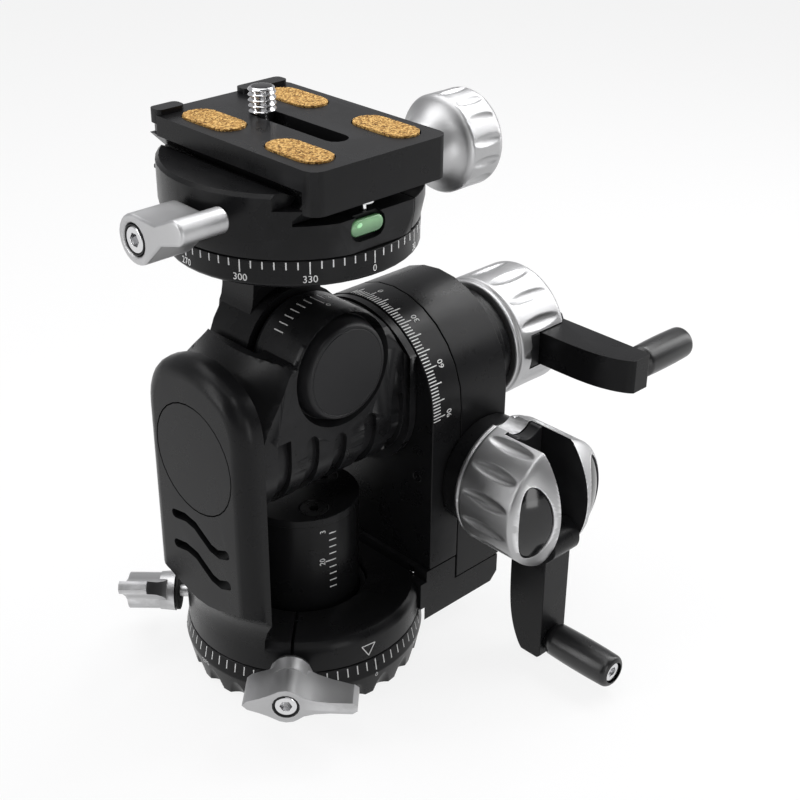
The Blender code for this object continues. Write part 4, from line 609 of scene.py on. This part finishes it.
barrelMiddle = 67.2
knobSeats = {"a": seatAt((61.0, 0, barrelMiddle), (0, 0, 1), (0, -1, 0), (1, 0, 0)),
             "b": seatAt((40.0, -30.6, 46.7), (-1, 0, 0), (0, 0, -1), (0, -1, 0))}
for letter, seat in knobSeats.items():
    makeCrankKnob(letter, seat, crankKnob, crankLook, gripLook)
print("crank knobs made")


# clamp knob, pan lever and wing screws

clampKnob = {"start": 30.3, "neck": 6.5, "bend": 43.6, "flare": 46.0, "radius": 12.2, "end": 58.0, "round": 2.4,
             "dish": 0.35, "flutes": 14, "fluteRadius": 2.0, "fluteDepth": 0.7, "fluteStart": 45.3, "fluteEnd": 57.9,
             "neckStop": 0.5, "sideStart": 0.8, "sideStop": 0.3, "dishRim": 2.5, "edgeBreak": 0.3, "shank": 1.9,
             "shankStart": 7.5, "height": 125.3}


def makeClampKnob(look):
    neck = []
    for t in (i / 16 for i in range(17)):
        near, bend, far = (1 - t) ** 2, 2 * t * (1 - t), t * t
        neck.append((near * look["neck"] + bend * look["neck"] + far * (look["radius"] - look["neckStop"]),
                     near * look["start"] + bend * look["bend"] + far * look["flare"]))
    soft, end, radius = look["round"], look["end"], look["radius"]
    nose = arcOf((radius - soft, end - soft), soft, 0, 90, 9)
    rows = [(look["shank"], look["shankStart"]), (look["shank"], look["start"])]
    low = look["flare"] + look["sideStart"]
    side = [(radius, low + (end - soft - look["sideStop"] - low) * i / 24) for i in range(25)]
    rows += neck + side + nose + [(radius - soft - look["dishRim"], end - look["dish"])]
    knob = flutedPiece("clamp_knob_turned", rows, look, 336)
    seat = seatAt((0, 0, look["height"]), (0, 1, 0), (0, 0, 1), (1, 0, 0))
    dress(breakEdges(seatPiece(knob, seat), look["edgeBreak"], 3, 62, True), "clamp_knob", edge="polishedEdge")


makeClampKnob(clampKnob)

handBreaks = {"pan_lever": 0.7, "wing_1": 0.7, "wing_2": 0.7, "collar_a": 0.3, "arm_cover": 0.12,
              "column": 0.22, "safety_pin": 0.2, "foot_dowel": 0.15, "tower_screw": 0.12,
              "wing_1_washer": 0.15, "wing_2_washer": 0.15}
handBreaks |= {f"cork_pad_{number}": 0.12 for number in (1, 2, 3, 4)}
for nodeName, width in handBreaks.items():
    shellOf(nodeName, width)

screwLook = {  # seat on the piece, outward direction, head radius, socket size, depth
    "pan_lever_screw": {"face": (-43.4, -1.0, 125.0), "out": (-1, 0, 0), "radius": 3.1, "hex": 1.6, "depth": 2.6},
    "wing_1_screw": {"turn": 135.5, "radius": 2.85, "hex": 1.5, "depth": 2.6},
    "wing_2_screw": {"turn": 224.0, "radius": 2.85, "hex": 1.5, "depth": 2.6},
}
wingFace = {"reach": 45.4, "height": 14.0}


def seatFacing(origin, out):
    out = Vector(out).normalized()
    across = Vector((0, 0, 1)).cross(out).normalized()
    return seatAt(origin, across, out.cross(across), out)


for nodeName, look in screwLook.items():
    if "turn" in look:
        turn = math.radians(look["turn"])
        out = Vector((math.cos(turn), math.sin(turn), 0))
        face = out * wingFace["reach"] + Vector((0, 0, wingFace["height"]))
    else:
        out, face = look["out"], look["face"]
    seat = seatFacing(face, out)
    makeSocketScrew(nodeName + "_head", seat, (0, 0), 0, look["depth"], look["radius"], look["hex"], nodeName)
    near, far = (look["radius"] + gap for gap in socketLook["cup"])
    low, high = -socketLook["cupDepth"], socketLook["cupProud"]
    cup = spinPiece(nodeName + "_cup", [(near, low), (far, low), (far, high), (near, high)], 48, loop=True)
    dress(seatPiece(cup, seat), nodeName, "blackSatin", replace=False)
print("clamp knob, lever and wing screws made")


# camera screw with a real thread, and the spirit level

cameraThread = {"centre": (-0.6, 8.9), "headLow": 131.4, "headHigh": 134.6, "head": 6.6, "neck": 2.4,
                "start": 141.4, "top": 147.0, "outer": 3.16, "root": 2.62, "pitch": 1.27, "chamfer": 0.6,
                "headEdge": 0.3, "crest": 1.25, "slope": 0.9, "face": ((2.35, -0.4), (2.35, 0.03), (2.2, 0.06)),
                "sides": 64, "rows": 14}


def makeCameraThread(look):
    x, y = look["centre"]
    wide, low, high, edge = (look[key] for key in ("head", "headLow", "headHigh", "headEdge"))
    head = spinPiece("camera_screw_head", [(wide - edge, low), (wide, low + edge), (wide, high), (look["neck"], high),
                                           (look["neck"], look["start"] + 0.2)], 64, (x, y))
    dress(breakEdges(head, edge / 2), "camera_screw", "polishedSteel")
    rings = []
    sides, rows = look["sides"], look["rows"]
    turns = (look["top"] - look["start"]) / look["pitch"]
    for row in range(int(turns * rows) + 1):
        height = look["start"] + row * look["pitch"] / rows
        ring = []
        for side in range(sides):
            phase = (row / rows - side / sides) % 1
            ridge = 1 - abs(2 * phase - 1)
            radius = look["root"] + (look["outer"] - look["root"]) * min(1, ridge * look["crest"])
            radius = min(radius, look["outer"] - max(0, height - look["top"] + look["chamfer"]) * look["slope"])
            turn = 2 * math.pi * side / sides
            ring.append((x + radius * math.cos(turn), y + radius * math.sin(turn), height))
        rings.append(ring)
    thread = loftPiece("camera_screw_thread", rings)
    dress(thread, "camera_screw", "polishedSteel", replace=False)
    face = spinPiece("camera_screw_face", [(radius, height + rise) for radius, rise in look["face"]], 48, (x, y))
    dress(face, "camera_screw", "blackSteel", replace=False)


makeCameraThread(cameraThread)

spiritLevel = {"left": -7.3, "right": 2.0, "height": 125.0, "half": 1.85, "front": -28.0, "sink": 0.35, "deep": 1.0,
               "bubble": (-5.1, 125.7), "bubbleSize": (0.9, 0.6), "crown": 0.35, "glass": 0.1}


def makeSpiritLevel(look):  # a pill of green fluid behind clear plastic, with the bubble at one end, coloured bright green as a painted highlight
    rows = []
    for share, out in ((1.0, 0.0), (0.94, 0.6), (0.8, 0.88), (0.55, 1.0)):
        radius = look["half"] * share
        left, right = look["left"] + look["half"], look["right"] - look["half"]
        ring = arcOf((right, 0), radius, -90, 90, 16) + arcOf((left, 0), radius, 90, 270, 16)
        depth = look["sink"] - look["crown"] * out
        rows.append([(x, look["front"] + depth + look["glass"], look["height"] + y) for x, y in ring])
    back = [(x, look["front"] + look["deep"], z) for x, y, z in rows[0]]
    window = loftPiece("level_window", [back] + rows)
    dress(window, "bubble_level")
    # the bubble: a real bubble, its bright green a painted highlight
    bubble = []
    x, z = look["bubble"]
    wide, tall = look["bubbleSize"]
    for share, out in ((1.0, 0.0), (0.8, 0.1), (0.45, 0.16)):
        bubble.append([(x + wide * across, look["front"] + look["glass"] - out, z + tall * up)
                       for across, up, base in ringOf(share, 0, 32)])
    dress(loftPiece("level_bubble_highlight", bubble), "bubble_level", "levelBubbleHighlight", replace=False)


makeSpiritLevel(spiritLevel)
print("camera screw and spirit level made")


# barrel with its ears, hub and grooves, and the cap on the hub

barrelBody = {
    "left": -25.4, "right": 21.5, "core": 16.6, "axle": 9.0, "axleEnd": 48.1, "front": -16.6, "backLow": 10.8,
    "back": 21.6, "earTop": 24.0, "rim": 0.6,
    "ears": ((-25.4, 17.6), (-24.6, 17.9), (-23.4, 18.9), (-22.0, 20.3), (-20.5, 21.8), (-19.2, 23.1), (-18.0, 24.6),
             (-17.0, 26.1), (-16.2, 27.4), (-15.4, 28.2), (15.4, 28.2), (16.2, 27.2), (17.0, 26.0), (18.0, 24.6),
             (19.2, 23.4), (19.6, 23.0)),
    "endPlate": {"from": 19.5, "half": 18.8, "top": 24.3},
    "hubHeight": 85.5, "hub": ((13.8, 0.5), (14.8, 2.5), (14.8, 14.9), (14.3, 16.35), (14.15, 16.45), (13.05, 13.9)),
    "cove": ((13.05, 13.9), (14.15, 16.45), (14.3, 18.0)),
    "scoop": (17.3, -23.0, 5.0),
    "neckRoom": (15.9, -38, 218), "neckBack": -23, "edgeBreak": 0.3}
barrelRooms = (("alongY", 13.6, -3.4, 3.4), ("alongY", 13.0, -23.0, 0.0), ("alongY", 4.3, -1.0, 13.88),
               ("alongX", 5.3, -27.0, -17.1), ("alongX", 6.5, -12.6, 50.0))
grooveLook = {"half": 1.95, "floor": 15.35, "rim": 17.6, "softRun": (0.02, 0.12, 0.35, 0.7, 1.15, 1.6),
              "places": ((-18.2, 65.5), (-9.8, 75.2), (-1.2, 82.9), (8.4, 77.1), (17.3, 67.4))}
alongX = seatAt((0, 0, barrelMiddle), (0, 1, 0), (0, 0, 1), (1, 0, 0))
alongY = seatAt((0, 0, barrelBody["hubHeight"]), (1, 0, 0), (0, 0, 1), (0, -1, 0))


def makeGroove(look, place, top):  # one shallow slot round the underside, its ends round
    half, floor, rim = (look[key] for key in ("half", "floor", "rim"))
    rows, start, end = [], math.radians(top), math.radians(360 - top)
    turns = [start + run / floor for run in look["softRun"]]
    turn = start + half / floor
    while turn < end - half / floor:
        turns.append(turn)
        turn += math.radians(5)
    turns += [end - run / floor for run in reversed(look["softRun"])]
    for turn in turns:
        run = min(turn - start, end - turn) * floor
        wide = math.sqrt(max(0.001, half ** 2 - max(0, half - run) ** 2))
        rows.append([(place + side * wide, -radius * math.sin(turn), barrelMiddle + radius * math.cos(turn))
                     for side, radius in ((-1, floor), (1, floor), (1, rim), (-1, rim))])
    return loftPiece("groove", rows)


def makeBarrel(look, rooms, grooves):
    core = look["core"]
    body = spinPiece("barrel_turned", [(core - look["rim"], look["left"]), (core, look["left"] + look["rim"]),
                                       (core, look["right"]), (look["axle"], look["right"]),
                                       (look["axle"], look["axleEnd"])], 180)
    seatPiece(body, alongX)
    ears = seatPiece(spinPiece("ears", [(radius, x) for x, radius in look["ears"]], 180), alongX)
    front, back, low, top = look["front"], look["back"], look["backLow"], look["earTop"]
    cheek = slabPiece("cheek", [(front, 0), (5, 0), (5, low), (back, low), (back, top), (front, top)],
                      look["left"] - 1, look["right"] + 1)
    plate = look["endPlate"]
    lean = math.degrees(math.acos(plate["half"] / plate["top"]))
    rim = slabPiece("end_plate", arcOf((0, 0), plate["half"], 180, 360, 40)
                    + arcOf((0, 0), plate["top"], lean, 180 - lean, 40), plate["from"], look["right"])
    seatPiece(rim, alongX)
    radius, low, high = look["scoop"]
    carve(ears, [seatPiece(cheek, alongX)], "INTERSECT")
    carve(ears, [rim], "UNION")
    carve(ears, [seatPiece(spinPiece("scoop", [(radius, low), (radius, high)], 128), alongY)])
    carve(body, [ears], "UNION")
    cove = seatPiece(spinPiece("cove", look["cove"], 160), alongY)
    carve(body, [cove] + [makeGroove(grooves, x, top) for x, top in grooves["places"]])
    carve(body, [seatPiece(spinPiece("hub", look["hub"], 160), alongY)], "UNION")
    seats = {"alongX": alongX, "alongY": alongY}
    cutters = [seatPiece(spinPiece("room", [(radius, low), (radius, high)], 64), seats[way])
               for way, radius, low, high in rooms]
    cutters.append(seatPiece(slabPiece("neckRoom", arcOf((0, 0), *look["neckRoom"], 60), look["neckBack"], 0),
                             alongY))
    carve(body, cutters)
    dress(breakEdges(body, look["edgeBreak"], 3, 32), "barrel")


makeBarrel(barrelBody, barrelRooms, grooveLook)

hubCap = {"profile": ((12.9, 13.95), (12.9, 14.3), (12.6, 15.2), (12.25, 16.2), (12.0, 16.9), (11.85, 17.4),
                      (11.6, 17.85), (11.25, 18.1), (10.8, 18.2), (10.7, 18.05), (10.55, 18.05), (10.45, 18.2)),
          "edgeBreak": 0.06}
cap = seatPiece(spinPiece("hub_cap_turned", hubCap["profile"], 160), alongY)
dress(breakEdges(cap, hubCap["edgeBreak"], 2, 40), "hub_cap")
print("barrel and hub cap made")


# base ring: a turned cone with scallops milled into its foot

baseRing = {"bore": 12.0, "outline": ((29.3, 0.0), (29.5, 0.25), (30.85, 6.9), (30.82, 7.3), (30.08, 11.0),
                                      (29.8, 11.3)),
            "scallops": 24, "perScallop": 26, "cut": 1.65, "cutHigh": 5.2, "toolRadius": 2.2,
            "edgeBreak": 0.12}


def makeBaseRing(look):
    def outerAt(height):
        for (r0, z0), (r1, z1) in zip(look["outline"], look["outline"][1:]):
            if height <= z1:
                return r0 + (r1 - r0) * (height - z0) / (z1 - z0)
        return look["outline"][-1][0]

    sides = look["scallops"] * look["perScallop"]
    pitch = 2 * math.pi * look["outline"][1][0] / look["scallops"]
    rings = [ringOf(look["bore"], height, sides) for height in (look["outline"][-1][1], 0.0)]
    for height in [0, 0.25] + [0.25 * step for step in range(2, 22)] + [6.0, 6.6, 6.9, 7.1, 7.3, 9.0, 11.0, 11.3]:
        ring = []
        for i in range(sides):
            across = ((i / look["perScallop"] + 0.5) % 1 - 0.5) * pitch
            bite = look["cut"] * (1 - height / look["cutHigh"]) - across ** 2 / (2 * look["toolRadius"])
            radius = outerAt(height) - max(0, bite)
            ring.append((radius * math.cos(2 * math.pi * i / sides), radius * math.sin(2 * math.pi * i / sides),
                         height))
        rings.append(ring)
    return loftPiece("base_ring_turned", rings, loop=True)


ring = makeBaseRing(baseRing)
dress(breakEdges(ring, baseRing["edgeBreak"], 2, 50), "base_ring")
print("base ring made")


# sliding plate, its lips planed down and its edges rounded

plateLook = {"lipTop": 142.2, "edgeBreak": 0.28, "planer": (30, 40), "planerTop": 150}


def makePlate(look):
    plate = cleanCopy("plate", "plate_milled")
    carve(plate, [slabPiece("planer", oblong(*look["planer"]), look["lipTop"], look["planerTop"])])
    dress(breakEdges(plate, look["edgeBreak"], 4), "plate")


makePlate(plateLook)
print("plate made")


# painted marks: ticks, numbers and index signs, wrapped on the surface that carries them

paint = {"sink": -0.06, "proud": 0.03, "line": 0.28}


def aroundZ(profile):  # angle in degrees, height, how far out of the skin
    def place(angle, height, out):
        for (lowRadius, low), (highRadius, high) in zip(profile, profile[1:]):
            if height <= high:
                break
        radius = lowRadius + (highRadius - lowRadius) * (height - low) / (high - low) + out
        turn = math.radians(angle)
        return radius * math.cos(turn), radius * math.sin(turn), height
    return place


def aroundX(radius, height):  # angle from the top toward -Y
    def place(angle, along, out):
        turn = math.radians(angle)
        return along, -(radius + out) * math.sin(turn), height + (radius + out) * math.cos(turn)
    return place


def aroundY(radius, height):  # angle from the top toward +X
    def place(angle, along, out):
        turn = math.radians(angle)
        return (radius + out) * math.sin(turn), along, height + (radius + out) * math.cos(turn)
    return place


def strokeOn(place, start, end, radius, width):  # one painted line, as points and faces
    (a0, v0), (a1, v1) = start, end
    perDegree = math.radians(1) * radius
    run, rise = (a1 - a0) * perDegree, v1 - v0
    length = math.hypot(run, rise)
    side = (-rise / length * width / 2 / perDegree, run / length * width / 2)
    steps = max(1, int(abs(a1 - a0) / 4))
    points, faces = [], []
    for i in range(steps + 1):
        angle, along = a0 + (a1 - a0) * i / steps, v0 + (v1 - v0) * i / steps
        for sign, out in ((-1, paint["sink"]), (1, paint["sink"]), (1, paint["proud"]), (-1, paint["proud"])):
            points.append(place(angle + side[0] * sign, along + side[1] * sign, out))
    for i in range(steps):
        low, high = 4 * i, 4 * i + 4
        faces += [[low + j, low + (j + 1) % 4, high + (j + 1) % 4, high + j] for j in range(4)]
    return points, faces + [[0, 1, 2, 3], [4 * steps + j for j in range(4)]]


def figureOn(place, text, centre, radius, size, turned):  # numbers, standing or turned a quarter
    curve = bpy.data.curves.new("figures", "FONT")
    curve.body, curve.size, curve.resolution_u = text, size, 3
    curve.align_x, curve.align_y = "CENTER", "CENTER"
    curve.extrude = (paint["proud"] - paint["sink"]) / 2
    writing = bpy.data.objects.new("figures", curve)
    bpy.context.collection.objects.link(writing)
    mesh = shapedMesh(writing)
    points, perDegree = [], math.radians(1) * radius
    middle = (paint["proud"] + paint["sink"]) / 2
    for vertex in mesh.vertices:
        x, y, z = vertex.co
        along, up = turned(x, y)
        points.append(place(centre[0] + along / perDegree, centre[1] + up, middle + z))
    faces = [list(face.vertices) for face in mesh.polygons]
    bpy.data.objects.remove(writing)
    bpy.data.meshes.remove(mesh)
    bpy.data.curves.remove(curve)
    return points, faces


def paintPiece(name, strokes, nodeName, finish="whitePaint"):
    points, faces = [], []
    for morePoints, moreFaces in strokes:
        start = len(points)
        points += morePoints
        faces += [[start + index for index in face] for face in moreFaces]
    piece = pieceFrom(name, points, faces)
    piece.data.shade_flat()
    return dress(piece, nodeName, finish, replace=False)


def standing(x, y):
    return x, y


def readingUp(x, y):
    return -y, x


def upsideDown(x, y):
    return -x, -y


baseDial = {"profile": [(29.5, 0), (30.9, 7.0), (30.0, 11.3)], "zero": -95.0, "step": 5, "top": 10.8, "short": 8.5,
            "long": 7.8, "figures": 6.25, "size": 1.9, "every": 30, "radius": 30.5}
panDial = {"profile": [(29.0, 113), (29.0, 120)], "zero": -93.2, "step": 5, "top": 119.4, "short": 117.7,
           "long": 116.6, "figures": 115.4, "size": 2.25, "every": 30, "radius": 29.0}


def dialPiece(name, nodeName, look):
    place = aroundZ(look["profile"])
    strokes = []
    for value in range(0, 360, look["step"]):
        angle = look["zero"] + value
        low = look["long"] if value % look["every"] == 0 else look["short"]
        strokes.append(strokeOn(place, (angle, look["top"]), (angle, low), look["radius"], paint["line"]))
        if value % look["every"] == 0:
            strokes.append(figureOn(place, str(value), (angle, look["figures"]), look["radius"], look["size"],
                                    standing))
    paintPiece(name, strokes, nodeName)


dialPiece("base_dial", "base_ring", baseDial)
dialPiece("pan_dial", "pan_ring", panDial)

discIndex = {"radius": 30.0, "corners": ((-102.3, 15.9), (-94.9, 15.9), (-98.5, 12.7)), "line": 0.26}
place = aroundZ([(discIndex["radius"], 11), (discIndex["radius"], 20)])
corners = discIndex["corners"]
paintPiece("disc_index", [strokeOn(place, start, end, discIndex["radius"], discIndex["line"])
                          for start, end in zip(corners, corners[1:] + corners[:1])], "head_frame")

heightScale = {"radius": 14.4, "first": 24.5, "step": 2, "count": 9, "short": (-102.6, -94.8),
               "long": (-107.0, -95.2), "tenth": 4, "figures": (("20", -110.0, 32.6), ("3", -109.0, 41.4)),
               "size": 2.1}
place = aroundZ([(heightScale["radius"], 0), (heightScale["radius"], 50)])
strokes = []
for i in range(heightScale["count"]):
    start, end = heightScale["long" if i == heightScale["tenth"] else "short"]
    height = heightScale["first"] + heightScale["step"] * i
    strokes.append(strokeOn(place, (start, height), (end, height), heightScale["radius"], paint["line"]))
for text, angle, height in heightScale["figures"]:
    strokes.append(figureOn(place, text, (angle, height), heightScale["radius"], heightScale["size"], readingUp))
paintPiece("height_scale", strokes, "column")

towerScale = {"radius": 24.6, "height": 67.2, "start": 22.0, "short": 24.4, "long": 25.9, "figures": 27.4,
              "size": 2.3, "step": 2, "low": -12, "high": 94, "line": 0.26}
place = aroundX(towerScale["radius"], towerScale["height"])
strokes = []
for value in range(towerScale["low"], towerScale["high"] + 1, towerScale["step"]):
    end = towerScale["long" if value % 10 == 0 else "short"]
    strokes.append(strokeOn(place, (value, towerScale["start"]), (value, end), towerScale["radius"],
                            towerScale["line"]))
    if value % 30 == 0:
        strokes.append(figureOn(place, str(value), (value, towerScale["figures"]), towerScale["radius"],
                                towerScale["size"], upsideDown))
paintPiece("tower_scale", strokes, "scale_tower")

hubScale = {"radius": 14.8, "height": 85.5, "start": -5.2, "short": -8.2, "long": -10.1, "figure": -11.5,
            "step": 7.8, "below": 6, "above": 2, "size": 2.0, "sign": (30.2, -8.7), "signRadius": 1.3, "line": 0.26}
place = aroundY(hubScale["radius"], hubScale["height"])
strokes = []
for i in range(-hubScale["below"], hubScale["above"] + 1):
    end = hubScale["short"] if i else hubScale["long"]
    angle = i * hubScale["step"]
    strokes.append(strokeOn(place, (angle, hubScale["start"]), (angle, end), hubScale["radius"], hubScale["line"]))
strokes.append(figureOn(place, "0", (0.8, hubScale["figure"]), hubScale["radius"], hubScale["size"], standing))
perDegree = math.radians(1) * hubScale["radius"]
ring = [(hubScale["sign"][0] + hubScale["signRadius"] * math.cos(2 * math.pi * i / 24) / perDegree,
         hubScale["sign"][1] + hubScale["signRadius"] * math.sin(2 * math.pi * i / 24)) for i in range(25)]
strokes += [strokeOn(place, start, end, hubScale["radius"], hubScale["line"]) for start, end in zip(ring, ring[1:])]
strokes.append(strokeOn(place, ring[3], ring[15], hubScale["radius"], hubScale["line"]))
paintPiece("hub_scale", strokes, "barrel")
print("marks painted")

[[list(corner) for corner in box] for box in (solidBox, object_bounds())]
print("dressed")
